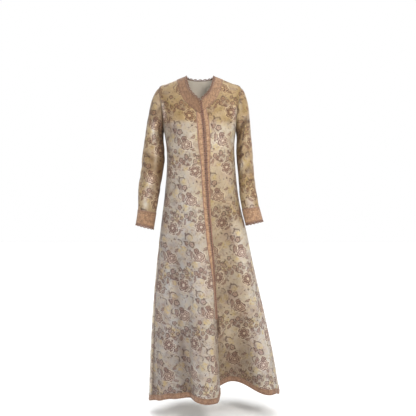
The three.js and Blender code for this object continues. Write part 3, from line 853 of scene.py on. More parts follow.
def startFinish(name, settings):
    finish = bpy.data.materials.new(name)
    finish.use_nodes = True
    building["tree"] = finish.node_tree
    shader = finish.node_tree.nodes["Principled BSDF"]
    for key, value in settings.items():
        shader.inputs[key].default_value = value
    return finish, shader


def addRelief(shader, height, strength, distance):
    node = addNode("Bump")
    node.inputs["Strength"].default_value = strength
    node.inputs["Distance"].default_value = distance
    feed(height, node.inputs["Height"])
    feed(node.outputs[0], shader.inputs["Normal"])


def mixColours(**colours):
    return {name: srgb(*parts) for name, parts in colours.items()}


# Yarn colours of the brocade. gold is the silver ground under the painted gold reflection and cool the
# ground under the painted cool reflection; honey, olive, russet and sepia are the pale, straw, rosewood and
# umber yarns under the painted gold reflection; deep is the tint of painted shade.
yarn = mixColours(
    silver=(183, 174, 159), cool=(160, 164, 168), gold=(152, 126, 80), deep=(118, 88, 60),
    rosewood=(150, 114, 104), russet=(134, 88, 58), umber=(84, 60, 54), sepia=(70, 42, 27),
    pale=(212, 205, 192), honey=(198, 174, 130), straw=(194, 172, 114), olive=(152, 130, 76),
    leaf=(150, 138, 128),
)
# The brocade's repeat, charted in millimetres from the open blossom: place, size and turn.
brocade = {
    "repeat": (130, 234),
    "blossoms": [(0, 0, 30, 10)],
    "roses": [(-30, -117, 32, -14)],
    "leaves": [
        (-62, -110, 20, 4), (-54, -128, 15, 34), (26, -22, 15, -58), (-46, -196, 14, -30),
        (-28, -206, 12, 40), (28, 30, 13, 60), (-68, 22, 14, -22), (4, -92, 13, -60),
        (-2, -146, 12, 70), (52, -66, 12, 30),
    ],
    "broadLeaves": [
        (-30, 38, 27, 24), (34, 8, 25, -64), (-70, -84, 28, -16), (12, -128, 26, 66),
        (-64, -150, 24, 118), (-16, -178, 25, 12), (58, -40, 22, 160), (30, -76, 24, 20),
    ],
    "rings": [
        (-52, -70, 15, 0), (-34, -176, 13, 0), (-18, -186, 9, 0), (18, 58, 12, 20),
        (2, 66, 9, 0), (-94, 22, 9, 0), (46, -150, 11, 0), (38, -8, 7, 0),
        (-58, -188, 12, 0), (4, -196, 12, 0), (27, -184, 13, 0), (50, -196, 10, 0), (-74, -62, 11, 0),
    ],
    "arches": [
        (-60, -42, 20, 24), (16, -160, 17, 200), (-36, 40, 18, 150), (22, -60, 16, -60),
        (58, -104, 15, 90),
    ],
    "dots": [
        (-84, -12, 3.4, 0), (-74, -24, 3.8, 0), (-84, -56, 3.6, 0), (4, -44, 4.2, 0),
        (-12, -50, 2.6, 0), (-66, -160, 3.6, 0), (-76, -172, 3.0, 0), (44, 6, 3.0, 0),
        (34, -128, 3.2, 0), (-20, 62, 2.6, 0), (-34, 70, 2.6, 0), (56, -30, 2.6, 0),
    ],
    "patches": [
        (-54, -44, 17, 0), (-92, -86, 16, 20), (-56, -152, 19, 0), (-96, -172, 15, 0),
        (26, 38, 18, 0), (24, -96, 19, 0), (50, -186, 16, 0), (-40, 12, 14, 0),
    ],
}
# Small sprigs that fill the ground between, on a closer repeat of their own.
sprigs = {
    "repeat": (52, 46.8),
    "leaves": [
        (6, 6, 8, 30), (-16, 12, 7, -50), (18, -14, 7.5, 100), (-8, -16, 6.5, 160), (22, 10, 6, 10),
    ],
    "rings": [(-20, -6, 5.5, 0), (12, 18, 5, 0), (2, -6, 4.5, 0)],
    "curls": [(-2, 0, 9, 40), (20, 4, 8, 210), (-14, -20, 8, 120), (-24, 18, 8, 300)],
    "dots": [(0, 18, 1.8, 0), (-22, 20, 1.6, 0), (24, -4, 1.8, 0), (8, -20, 2.0, 0), (-8, 8, 1.6, 0)],
}


# The motifs of one list side by side: the place within one, across and along in its own size and
# turn, and whether a point lies in any.
def tileMotifs(point, motifs, repeat=brocade["repeat"]):
    wide, high = repeat
    half = (wide / 2, high / 2, 1)
    across = along = inside = None
    for x, y, size, turn in motifs:
        sine, cosine = (part / size for part in sineCosine(turn))
        moved = calcVector("SUBTRACT", point, (x, y, 0))
        wrapped = calcVector("WRAP", moved, half, tuple(-part for part in half))
        u = calcVector("DOT_PRODUCT", wrapped, (cosine, sine, 0))
        v = calcVector("DOT_PRODUCT", wrapped, (-sine, cosine, 0))
        square = timesPlus(v, v, times(u, u))
        near = calc("LESS_THAN", square, 1.0)
        if inside is None:
            across = times(u, near)
            along = times(v, near)
            inside = near
            continue
        near = calc("GREATER_THAN", near, inside)
        across = timesPlus(u, near, across)
        along = timesPlus(v, near, along)
        inside = plus(inside, near)
    return across, along, inside


def reach(x, y, dx=0.0, dy=0.0, wide=1.0, high=1.0):
    u = timesPlus(x, wide, -dx * wide)
    v = timesPlus(y, high, -dy * high)
    return calc("SQRT", timesPlus(v, v, times(u, u)))


def ringMask(radius, at, half, slope=18):
    away = absolute(minus(radius, at))
    return steep(minus(half, away), slope)


def blossomMasks(point):
    x, y, inside = tileMotifs(point, brocade["blossoms"])
    radius = reach(x, y)
    turn = calc("ARCTAN2", y, x)
    petal = absolute(wave(times(turn, 3.0)))
    edge = timesPlus(calc("POWER", petal, 0.6), 0.3, 0.62)
    fill = times(inside, within(edge, radius, 12))
    hollow = within(0.2, radius, 10)
    share = calc("DIVIDE", radius, edge)
    rim = ringMask(share, 0.94, 0.07)
    inner = ringMask(share, 0.62, 0.06)
    gap = within(0.3, petal, 8)
    crown = ringMask(radius, 0.3, 0.05)
    vein = times(steep(minus(petal, 0.9), 12), steep(radius, 9, 0.4))
    line = times(fill, either(rim, inner, crown, gap, times(vein, 0.7)))
    frill = times(ringMask(share, 0.78, 0.07), 0.8)
    halo = times(ringMask(share, 1.1, 0.07), 0.8)
    pale = times(inside, either(hollow, frill, halo))
    return fill, line, pale


def roseMasks(point):
    x, y, inside = tileMotifs(point, brocade["roses"])
    bud = reach(x, y, -0.34, 0.5)
    turn = calc("ARCTAN2", plus(y, 0.16), plus(x, -0.1))
    lobes = wave(times(turn, 7.0))
    disc = timesPlus(lobes, 0.06, reach(x, y, 0.1, -0.16, 1.14, 1.3))
    budFill = within(0.36, bud, 13)
    discFill = within(0.9, disc, 13)
    fill = times(inside, either(budFill, discFill))
    rim = either(ringMask(disc, 0.85, 0.06), ringMask(disc, 0.56, 0.06))
    heart = either(ringMask(disc, 0.3, 0.05), ringMask(bud, 0.3, 0.06))
    line = times(inside, fill, either(rim, heart, ringMask(bud, 0.12, 0.05)))
    spot = within(0.16, disc, 14)
    frill = either(ringMask(disc, 0.7, 0.05), ringMask(disc, 0.43, 0.04))
    frill = times(frill, 0.7)
    halo = times(ringMask(disc, 1.0, 0.06), minus(1.0, budFill), 0.8)
    pale = times(inside, either(spot, frill, halo))
    return fill, line, pale


def leafMasks(point, leaves, repeat=brocade["repeat"], wide=0.44):
    x, y, inside = tileMotifs(point, leaves, repeat)
    bent = timesPlus(times(y, y), 0.22, x)
    width = timesPlus(times(y, y), -wide, wide)
    across = absolute(minus(bent, 0.06))
    gap = minus(width, across)
    fill = times(inside, steep(gap, 14))
    rim = ringMask(gap, 0.05, 0.07)
    vein = within(0.06, across, 16)
    slant = wave(timesPlus(across, -14.0, times(y, 20.0)))
    ribs = times(steep(slant, 2.5, 0.75), 0.6)
    line = times(fill, either(rim, vein, ribs))
    return fill, line


def ringMasks(point, rings, repeat=brocade["repeat"]):
    x, y, inside = tileMotifs(point, rings, repeat)
    lobes = wave(times(calc("ARCTAN2", y, x), 5.0))
    radius = timesPlus(lobes, 0.09, reach(x, y))
    ring = times(inside, ringMask(radius, 0.7, 0.15, 9))
    heart = times(inside, within(0.62, radius, 9))
    dark = times(inside, within(0.16, radius, 9))
    return either(ring, dark), heart


def archMask(point, arches, repeat=brocade["repeat"], half=0.12):
    x, y, inside = tileMotifs(point, arches, repeat)
    radius = reach(x, y)
    return times(inside, ringMask(radius, 0.8, half, 12), steep(y, 8, 0.05))


def clothTone():
    tone = addNode("VertexColor")
    tone.layer_name = "tone"
    split = addNode("SeparateColor")
    feed(tone.outputs[0], split.inputs[0])
    return split.outputs


def flatPlace():
    uv = addNode("UVMap")
    uv.uv_map = "grain"
    return calcVector("SCALE", uv.outputs[0], None, None, 1000.0)


def nudge(place, flat, scale, reach, detail=2.0):
    split = addNode("SeparateColor")
    feed(roughNoise(flat, scale, detail, "Color"), split.inputs[0])
    aside = timesPlus(split.outputs[0], reach, -0.5 * reach)
    along = timesPlus(split.outputs[1], reach, -0.5 * reach)
    return calcVector("ADD", place, joinVector(aside, along))


def brocadeFinish():
    settings = {"Sheen Weight": 0.12, "Sheen Roughness": 0.4, "Specular IOR Level": 0.4}
    finish, shader = startFinish("floral satin brocade", settings)
    flat = flatPlace()
    x, y, _ = splitVector(flat)
    point = nudge(nudge(flat, flat, 0.09, 11.0), flat, 0.5, 4.5)
    sprigPoint = nudge(point, flat, 0.022, 60.0, 1.0)
    # warm, shade and cool are the painted gold reflection, painted shade and painted cool reflection
    warm, shade, cool = clothTone()
    streak = threadNoise(x, y, 1.6, 0.16)
    weft = threadNoise(x, y, 0.3, 1.5, 3.0)
    # The ground, flowers, lines, pale threads and patches turn warmer under the painted gold reflection;
    # the ground turns grey-blue under the painted cool reflection.
    ground = blend(warm, yarn["silver"], yarn["gold"])
    ground = blend(times(cool, 0.8), ground, yarn["cool"])
    bloom = blend(warm, yarn["rosewood"], yarn["russet"])
    ink = blend(warm, yarn["umber"], yarn["sepia"])
    pale = blend(warm, yarn["pale"], yarn["honey"])
    patch = blend(warm, yarn["straw"], yarn["olive"])
    cloudy = patchy(flat, 0.03, 3.0, 3.0, 0.52)
    ground = blend(times(cloudy, 0.35), ground, pale)
    rosy = patchy(flat, 0.014, 2.0, 5.0, 0.54)
    ground = blend(times(rosy, 0.3), ground, bloom)
    earthy = patchy(flat, 0.055, 3.0, 5.0, 0.52)
    ground = blend(times(earthy, 0.26), ground, patch)
    ground = blend(times(streak, 0.14), ground, yarn["leaf"])
    broadFill, broadLine = leafMasks(sprigPoint, brocade["broadLeaves"], wide=0.4)
    ground = blend(times(broadFill, 0.45, weft), ground, yarn["leaf"])
    ground = blend(times(broadLine, 0.26), ground, ink)
    u, v, inside = tileMotifs(point, brocade["patches"])
    soft = steep(minus(0.7, reach(u, v)), 2.4)
    broken = patchy(flat, 0.1, 3.0, 3.5, 0.46)
    ground = blend(times(inside, soft, broken, 0.72), ground, patch)
    small, smallLine = leafMasks(sprigPoint, sprigs["leaves"], sprigs["repeat"], 0.5)
    ring, ringHeart = ringMasks(point, brocade["rings"])
    smallRing, _ = ringMasks(sprigPoint, sprigs["rings"], sprigs["repeat"])
    curl = archMask(sprigPoint, sprigs["curls"], sprigs["repeat"], 0.1)
    arch = archMask(point, brocade["arches"])
    _, _, speck = tileMotifs(sprigPoint, sprigs["dots"], sprigs["repeat"])
    _, _, dot = tileMotifs(point, brocade["dots"])
    flowerFill, flowerLine, flowerPale = blossomMasks(point)
    roseFill, roseLine, rosePale = roseMasks(point)
    leafFill, leafLine = leafMasks(point, brocade["leaves"])
    thin = either(smallLine, times(smallRing, 0.8), times(curl, 0.9), speck)
    present = patchy(flat, 0.04, 2.0, 7.0, 0.47)
    colour = blend(times(small, present, 0.35), ground, bloom)
    colour = blend(times(thin, present, 0.5), colour, ink)
    blooms = either(flowerFill, roseFill)
    fills = either(blooms, times(leafFill, 0.7), times(ringHeart, 0.6))
    thread = timesPlus(weft, 0.9, 0.46, limit=True)
    colour = blend(times(fills, 0.84, thread), colour, bloom)
    mottled = patchy(flat, 0.3, 3.0, 5.0, 0.56)
    pales = either(flowerPale, rosePale, times(blooms, mottled, 0.5))
    colour = blend(times(pales, 0.84), colour, pale)
    lines = either(flowerLine, roseLine, leafLine, ring, times(arch, 0.9))
    colour = blend(times(lines, 0.92, thread), colour, ink)
    colour = blend(times(dot, 0.75), colour, ink)
    # painted shade darkens the finished colour
    colour = blend(times(shade, 0.8), colour, yarn["deep"], "MULTIPLY")
    feed(colour, shader.inputs["Base Color"])
    raised = either(fills, lines, times(thin, present, 0.7), dot)
    twill = times(wave(times(plus(x, y), 5.0)), 0.3)
    height = timesPlus(either(blooms, leafFill), 1.6, twill)
    rough = timesPlus(raised, 0.22, 0.38)
    feed(rough, shader.inputs["Roughness"])
    addRelief(shader, height, 0.5, 0.0002)
    return finish


# The lining seen at the neck, the cuffs and the hem.
def liningFinish():
    finish, shader = startFinish("satin lining", {"Roughness": 0.5, "Sheen Weight": 0.15})
    flat = flatPlace()
    x, y, _ = splitVector(flat)
    cloudy = roughNoise(flat, 0.03, 3.0)
    colour = blend(cloudy, srgb(214, 204, 188), srgb(232, 225, 213))
    feed(colour, shader.inputs["Base Color"])
    warp = wave(times(x, 8.0))
    weft = wave(times(y, 8.0))
    addRelief(shader, plus(warp, weft), 0.3, 0.0001)
    return finish


# Woven braid. Its grain runs across from the middle (u) and along (v), with a lozenge figure in
# gold between plain ribbed edges. Tone red marks the corded edges, green the sewing inside them and
# blue the depth of shade.
braid = mixColours(
    ground=(190, 146, 114), rose=(130, 86, 70), gold=(150, 126, 76), pale=(208, 178, 144),
    edge=(124, 84, 72), lilac=(168, 136, 130), stitch=(104, 72, 54), deep=(112, 84, 62),
)
lozenge = (8.6, 9.4)  # width and height of the braid's figure, in millimetres
stitchStep = 4.4
# How deep in shade each braid is.
braidDepth = {
    "neck_band_right": 0.68,
    "neck_band_left": 0.46,
    "neck_band_back": 0.45,
    "front": 0.26,
    "cuff_right": 0.5,
    "cuff_left": 0.34,
    "hem": 0.5,
}


def braidFinish():
    settings = {"Roughness": 0.62, "Sheen Weight": 0.1, "Specular IOR Level": 0.35}
    finish, shader = startFinish("woven braid", settings)
    flat = flatPlace()
    x, y, _ = splitVector(nudge(flat, flat, 0.5, 1.4))
    wide, high = lozenge
    u = fraction(timesPlus(x, 1 / wide, 0.5))
    v = fraction(times(y, 1 / high))
    across = absolute(minus(u, 0.5))
    along = absolute(minus(v, 0.5))
    diamond = plus(across, along)
    outline = ringMask(diamond, 0.4, 0.07, 12)
    heart = within(0.18, diamond, 12)
    broken = patchy(flat, 0.3, 3.0, 5.0, 0.46)
    figure = times(either(outline, heart), broken)
    threads = threadNoise(x, y, 2.0, 0.5)
    cloudy = patchy(flat, 0.07, 3.0, 6.0, 0.5)
    ground = blend(cloudy, braid["ground"], braid["rose"])
    ground = blend(times(threads, 0.45), ground, braid["pale"])
    speckled = patchy(flat, 0.17, 2.0, 7.0, 0.56)
    ground = blend(times(speckled, 0.6), ground, braid["pale"])
    colour = blend(times(figure, 0.85), ground, braid["gold"])
    corded, sewn, depth = clothTone()
    edge = blend(threads, braid["edge"], braid["lilac"])
    colour = blend(times(corded, 0.85), colour, edge)
    step = fraction(times(y, 1 / stitchStep))
    stitch = times(sewn, calc("LESS_THAN", step, 0.58))
    colour = blend(times(stitch, 0.7), colour, braid["stitch"])
    # painted shade, as deep as braidDepth gives for the piece
    colour = blend(depth, colour, braid["deep"], "MULTIPLY")
    feed(colour, shader.inputs["Base Color"])
    ribs = wave(times(y, 5.2))
    height = timesPlus(figure, 1.2, ribs)
    height = timesPlus(stitch, -1.5, height)
    addRelief(shader, height, 0.5, 0.00025)
    return finish


# A twisted cord. The crest of each strand is painted in the light colour, a painted highlight along the
# twist, and a noise varies it at random.
def cordFinish(name, base, light, pitch):
    finish, shader = startFinish(name, {"Roughness": 0.6, "Sheen Weight": 0.25})
    place = objectPlace()
    x, y, z = splitVector(place)
    slant = plus(plus(x, z), times(y, 0.5))
    strand = wave(times(slant, 2 * math.pi / pitch))
    share = timesPlus(strand, 0.3, roughNoise(place, 700.0), limit=True)
    feed(blend(share, base, light), shader.inputs["Base Color"])
    addRelief(shader, strand, 0.4, 0.0003)
    return finish


brocadeCloth = brocadeFinish()
lining = liningFinish()
braidCloth = braidFinish()
picotCord = cordFinish("picot cord", srgb(84, 54, 36), srgb(132, 92, 62), 0.0016)
buttonCord = cordFinish("knotted silk cord", srgb(96, 58, 46), srgb(150, 104, 84), 0.0014)
loopCord = cordFinish("loop cord", srgb(150, 112, 88), srgb(196, 160, 130), 0.0014)
print("finishes mixed")

# The front and back panels.
clothWall = 2.0
rolled = {"depth": 0.9, "over": 1.6}  # how the outer face turns in at a seam, in mm and grid lines


def rollAt(near):
    return -rolled["depth"] * (1 - smooth(near / rolled["over"]))


def addCloth(node, points, normals, roll, flat, shades, closed=False, wrap=None):
    finishes = [brocadeCloth, lining]
    name = f"{node}_cloth"
    piece = makeWall(name, points, normals, roll, -clothWall, flat, shades, finishes, closed, wrap)
    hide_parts(node)
    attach(piece, "root")


def addPanel(side, node, anglesOf, creases, toneOf):
    points, relief = clothGrid(anglesOf, side, creases)
    normals = gridNormals(points, flip=side != "right")
    last = len(points[0]) - 1

    def seamRoll(r, c):
        return rollAt(min(c, last - c) if side == "back" else last - c)

    dx, dz = flowerAt.get(side, (0, 0))
    flat = [[(u - dx, v - dz) for u, v in line] for line in panelGrain(points, side)]
    addCloth(node, points, normals, seamRoll, flat, panelTones(toneOf, points, relief, side))
    return points, normals


panels = {
    "right": addPanel("right", "front_right", frontAngles, frontCreases, frontTone),
    "left": addPanel("left", "front_left", frontAngles, frontCreases, frontTone),
    "back": addPanel("back", "back", backAngles, backCreases, backTone),
}
print("panels cut and shaped")

# Sleeve sections from the upper arm to the cuff mouth, in millimetres.
sleeveColumns = ("z", "outer", "inner", "front", "back", "tilt")
sleeveForm = {
    "right": [
        (-268, -242, -160, -54, 47, 0),
        (-320, -249, -156, -56, 43, 2),
        (-374, -255, -155, -58, 38, 3),
        (-444, -264, -166, -63, 27, 5),
        (-514, -269, -177, -68, 16, 8),
        (-589, -269, -190, -69, 5, 13),
        (-651, -277, -200, -70, 0, 20),
    ],
    "left": [
        (-268, 225, 161, -53, 47, 0),
        (-320, 230, 159, -55, 43, 1),
        (-374, 234, 161, -57, 38, 2),
        (-444, 238, 168, -61, 28, 4),
        (-514, 247, 173, -66, 18, 7),
        (-575, 257, 183, -68, 8, 11),
        (-635, 272, 198, -70, 2, 17),
    ],
}
sleeveTables = {
    side: [dict(zip(sleeveColumns, values)) for values in table] for side, table in sleeveForm.items()
}
sleeveHead = {"asideUnder": 0.25, "asideTop": 0.82, "leave": 0.62, "arrive": 0.95}
sleeveGrid = {"round": 72, "headRows": 30, "rowsEach": 11, "cuffStart": 6, "cuffRows": 14}
# Creases across the sleeves: place along it, climb with the turn, middle and reach round the
# sleeve in degrees, half width in places and depth outwards in mm.
sleeveCreases = {
    "right": [
        (3.3, -0.25, 20, 80, 0.45, -4), (4.1, 0.2, 40, 70, 0.4, -4),
        (2.55, 0.3, 60, 60, 0.22, -2.6), (2.9, 0.25, 40, 55, 0.2, 2.2), (3.7, 0.1, 70, 60, 0.22, 2.4),
        (4.6, -0.2, 50, 60, 0.25, -2.2), (5.2, 0.2, 80, 60, 0.25, 1.6), (1.4, 0.4, 110, 60, 0.3, -2.6),
        (0.7, 0.3, 75, 70, 0.2, -2.6), (2.2, -0.2, 230, 80, 0.35, -3.0), (3.4, 0.2, 250, 80, 0.3, -3.2),
        (4.3, -0.2, 230, 70, 0.3, -2.4), (1.2, 0.3, 280, 70, 0.3, -2.4),
    ],
    "left": [
        (0.6, 0.2, 70, 80, 0.2, 1.6), (3.6, 0.3, 60, 80, 0.5, -4),
        (1.6, 0.7, 60, 70, 0.25, 3.0), (2.3, 0.5, 90, 70, 0.28, -3.4), (2.8, -0.3, 40, 60, 0.25, -2.4),
        (3.1, 0.3, 100, 60, 0.22, 2.2), (4.3, -0.2, 60, 70, 0.25, -2.2), (5.0, 0.2, 90, 60, 0.25, 1.6),
        (0.6, 0.4, 60, 60, 0.18, 2.2), (2.2, -0.2, 240, 80, 0.35, -3.0), (3.4, 0.2, 225, 80, 0.3, -3.0),
        (1.3, 0.3, 280, 70, 0.3, -2.4), (4.4, 0.2, 250, 70, 0.3, -2.4),
    ],
}
sleeveEnds = {"head": 0.4, "mouth": 7.4, "fade": 1.6}  # places where the creases fade out
perDegree = 1.15  # length round the sleeve
# Folds that run along or slantwise: from and to (mm round from the outer side, z), half width, depth.
sleeveTroughs = {
    "right": [
        ((108, -150), (186, -330), 10, -5), ((84, -190), (140, -340), 9, 3),
        ((40, -330), (110, -372), 8, -3), ((52, -420), (124, -392), 7, -3),
    ],
    "left": [
        ((24, -196), (82, -205), 6, -4.5), ((82, -205), (132, -234), 6.5, -5),
        ((132, -234), (172, -292), 7, -4), ((60, -184), (120, -212), 7, 2.5),
        ((98, -222), (122, -282), 5, -3), ((112, -300), (170, -336), 6, -3),
        ((70, -395), (120, -430), 7, -2.5),
    ],
}
# Streaks of painted shade and of painted satin highlight (silver), placed the same way, with
# their strength.
sleeveShade = {
    "right": [
        ((110, -120), (190, -330), 17, 0.75), ((176, -330), (190, -560), 14, 0.3),
        ((18, -110), (24, -290), 22, 0.5), ((40, -330), (112, -372), 11, 0.4),
        ((56, -420), (122, -396), 10, 0.4), ((96, -130), (86, -210), 14, 0.5),
        ((60, -560), (70, -620), 14, 0.2),
    ],
    "left": [
        ((24, -196), (82, -205), 7, 1.6), ((82, -205), (132, -234), 8, 1.7),
        ((132, -234), (172, -292), 9, 1.4), ((98, -220), (124, -284), 6, 0.9),
        ((58, -186), (112, -196), 5, 0.5), ((112, -300), (170, -336), 7, 0.6),
        ((70, -395), (120, -430), 8, 0.35), ((120, -250), (150, -380), 12, 0.3),
        ((60, -270), (80, -350), 14, 0.25),
    ],
}
sleeveHighlights = {
    "right": [
        ((84, -196), (112, -300), 14, 0.9), ((118, -310), (122, -400), 10, 0.5),
        ((106, -440), (92, -590), 20, 1.0),
    ],
    "left": [
        ((118, -372), (160, -412), 15, 0.8), ((104, -530), (94, -615), 30, 1.1),
        ((146, -110), (160, -185), 12, 0.6),
    ],
}


def armholePoint(side, turn):
    sign = -1 if side == "right" else 1
    share = turn / 180 if turn <= 180 else (360 - turn) / 180
    row = armholeRow(share)
    angle = sign * (90 - (1 if turn <= 180 else -1) * armholeDip(share))
    return bodyPoint(angle, row, side)


def sleeveSection(side, turn, place):
    s = sleeveRow(side, place)
    sine, cosine = sineCosine(turn)
    return Vector((
        (s["outer"] + s["inner"]) / 2 + (s["outer"] - s["inner"]) / 2 * cosine,
        (s["front"] + s["back"]) / 2 + (s["front"] - s["back"]) / 2 * sine,
        s["z"] + s["tilt"] / 2 * cosine,
    ))


@lru_cache(maxsize=None)
def sleeveRow(side, place):
    return {key: readColumn(sleeveTables[side], key, place) for key in sleeveColumns}


def sleeveCalm(place):
    return smooth(place / sleeveEnds["head"]) * smooth((sleeveEnds["mouth"] - place) / sleeveEnds["fade"])


def sleeveFold(side, turn, place):
    depth = 0.0
    for row, climb, centre, reach, half, deep in sleeveCreases[side]:
        away = (turn - centre + 540) % 360 - 180
        depth += deep * bump(away / reach) * bump((place - row - climb * away / 60) / half)
    return depth * sleeveCalm(place)


def sleevePoint(side, turn, place):
    turn %= 360
    sign = -1 if side == "right" else 1
    if place >= 1:
        point = sleeveSection(side, turn, place - 1)
    else:
        start = armholePoint(side, turn)
        end = sleeveSection(side, turn, 0)
        length = (end - start).length
        aside = mix(sleeveHead["asideUnder"], sleeveHead["asideTop"], math.cos(math.radians(turn / 2)) ** 2)
        leave = Vector((sign * aside, 0, -math.sqrt(1 - aside * aside)))
        arrive = (sleeveSection(side, turn, 0.3) - end).normalized()
        t = place
        point = start * (2 * t**3 - 3 * t**2 + 1) + end * (3 * t**2 - 2 * t**3)
        point += leave * ((t**3 - 2 * t**2 + t) * length * sleeveHead["leave"])
        point += arrive * ((t**3 - t**2) * length * sleeveHead["arrive"])
    fade = sleeveCalm(place)
    depth = sleeveFold(side, turn, place) + unevenness(point, *uneven["sleeve"]) * fade
    depth += creaseDepth(turn * perDegree, point.z, sleeveTroughs[side]) * fade
    sine, cosine = sineCosine(turn)
    return point + Vector((sign * cosine, -sine, 0)) * depth


def shapeSleeve(side):
    cuffStart = sleeveGrid["cuffStart"]
    head = [k / sleeveGrid["headRows"] for k in range(sleeveGrid["headRows"])]
    lower = [1 + k / sleeveGrid["rowsEach"] for k in range((cuffStart - 1) * sleeveGrid["rowsEach"])]
    cuff = [cuffStart + k / sleeveGrid["cuffRows"] for k in range(sleeveGrid["cuffRows"] + 1)]
    places = head + lower + cuff
    turns = [180 + 360 * k / sleeveGrid["round"] for k in range(sleeveGrid["round"])]
    points = [[sleevePoint(side, turn, place) for turn in turns] for place in places]
    for c, point in enumerate(points[1]):
        edge = points[0][c]
        points[0][c] = edge + (point - edge).normalized() * cut["seamGap"]
    normals = gridNormals(points, closed=True, flip=side == "right")
    return points, normals, places, turns


# The grain of the sleeve head: centre of its arc in radii, and where the level weft takes over.
headGrain = {"arcCentre": 0.9, "levelFrom": 0.3, "levelOver": 0.7}


def tubeGrain(points, level, shift, side):
    # the weft lies level round the sleeve, also in the head, which is cut to the slant of the armhole
    sign = -1 if side == "right" else 1
    rings = [runLengths(line + line[:1]) for line in points]
    outer = len(points[0]) // 2
    middle = [line[outer] for line in points]
    rise = [0.0] * len(points)
    for r in range(level - 1, -1, -1):
        rise[r] = rise[r + 1] + (middle[r] - middle[r + 1]).length
    for r in range(level + 1, len(points)):
        steps = [(near - far).length for near, far in zip(points[r - 1], points[r])]
        rise[r] = rise[r - 1] - sum(steps) / len(steps)
    radius = rings[level][-1] / (2 * math.pi)
    placed = []
    for r, line in enumerate(points):
        half = rings[r][-1] / 2
        row = []
        for c in range(len(line) + 1):
            point = line[c % len(line)]
            along = rings[r][c] - half
            drop = rise[r]
            if r < level:
                k = min((k for k in range(level) if middle[k + 1].z <= point.z), default=level - 1)
                span = middle[k].z - middle[k + 1].z
                t = clamp((middle[k].z - point.z) / span)
                drop = mix(rise[k], rise[k + 1], t)
                centre = mix(middle[k].x, middle[k + 1].x, t) - sign * radius * headGrain["arcCentre"]
                outward = sign * (point.x - centre)
                forward = abs(point.y - middle[level].y)
                arc = radius * (math.atan2(forward, outward) if outward > 0 else math.pi / 2)
                arc = math.copysign(arc + max(-outward, 0), c - outer)
                share = (r / level - headGrain["levelFrom"]) / headGrain["levelOver"]
                along = mix(arc, along, smooth(share))
            row.append((along + shift[0], drop + shift[1]))
        placed.append(row)
    return placed, [lengths[-1] for lengths in rings]


# Shade of both sleeves: the side next to the body (degrees from the outer side), fading at the
# head and towards the cuff, then the folds across and the armhole seam.
sleeveLight = {
    "innerFrom": 96,
    "innerOver": 40,
    "head": 0.35,
    "cuff": 6.2,
    "cuffOver": 3,
    "fold": 1.6,
    "foldDepth": 3,
    "seam": 0.2,
    "seamOver": 0.06,
    # streak: what a painted highlight streak takes from shade and warmth and adds to coolness
    "streak": {"shade": 0.35, "warm": 0.7, "cool": 0.2},
    "mottle": {"shade": 0.45, "warm": 0.3, "cool": 0.2},
}
# Painted gold reflection (warmth), painted shade and painted cool reflection of each sleeve, the
# depth of its painted inner shade and its place on the cloth.
sleeveTone = {
    "right": {"warm": 0.85, "shade": 0.33, "cool": 0.1, "inner": 0.56, "shift": (20, 60)},
    "left": {"warm": 0.9, "shade": 0.14, "cool": 0.05, "inner": 0.5, "shift": (-30, 20)},
}


def sleeveTones(side, points, places, turns):
    how = sleeveTone[side]
    light = sleeveLight
    streak = light["streak"]
    cloudy = light["mottle"]
    tones = []
    for place, line in zip(places, points):
        row = []
        fade = smooth(place / light["head"]) * smooth((light["cuff"] - place) / light["cuffOver"])
        for turn, point in zip(turns, line):
            low = clouds(point, cloudSize["sleeve"])
            inward = abs((turn + 180) % 360 - 180)
            inner = smooth((inward - light["innerFrom"]) / light["innerOver"]) * fade
            shade = how["shade"] + how["inner"] * inner
            shade += light["fold"] * hollowShade(light["foldDepth"] * sleeveFold(side, turn, place))
            shade += light["seam"] * (1 - smooth(place / light["seamOver"]))
            length = turn % 360 * perDegree
            # silver is the painted satin highlight of the streaks
            silver = creaseDepth(length, point.z, sleeveHighlights[side])
            shade += creaseDepth(length, point.z, sleeveShade[side]) - streak["shade"] * silver
            warm = clamp(how["warm"] + cloudy["warm"] * low - streak["warm"] * silver)
            cool = clamp(how["cool"] - cloudy["cool"] * low + streak["cool"] * silver)
            row.append((warm, clamp(shade + cloudy["shade"] * low), cool, 1))
        tones.append(row)
    return tones


def addSleeve(side):
    points, normals, places, turns = shapeSleeve(side)
    placed, wrap = tubeGrain(points, places.index(1), sleeveTone[side]["shift"], side)
    shades = sleeveTones(side, points, places, turns)
    addCloth(f"sleeve_{side}", points, normals, lambda r, c: rollAt(r), placed, shades, True, wrap)
    return points, normals, places.index(sleeveGrid["cuffStart"])


sleeves = {side: addSleeve(side) for side in ("right", "left")}
print("sleeves set in")

# The trims that are sewn to each cloth piece.
trimsOf = {"front_right": [], "front_left": [], "back": [], "sleeve_right": [], "sleeve_left": []}

# Woven braids: strips of one or more rows side by side, each with a cord along both edges.
braidShape = {"laid": 0.3, "thick": 1.0, "cord": 0.8, "groove": 0.5}
# Places across a strip, as shares of its width.
braidShares = {"edge": 0.035, "cordAt": 0.05, "cordHalf": 0.07, "groove": 0.06, "rosy": 0.1, "sewnAt": 0.2}
hemRosy = 0.3


def stripHeight(share, strips):
    within = share * strips % 1 if share < 1 else 1.0
    edge = min(within, 1 - within)
    outer = min(share, 1 - share) * strips
    rise = braidShape["thick"] * smooth(outer / braidShares["edge"])
    rise += braidShape["cord"] * bump((outer - braidShares["cordAt"]) / braidShares["cordHalf"])
    if strips > 1 and outer > 0.5:
        rise -= braidShape["groove"] * (1 - smooth(edge / braidShares["groove"]))
    return braidShape["laid"] + rise


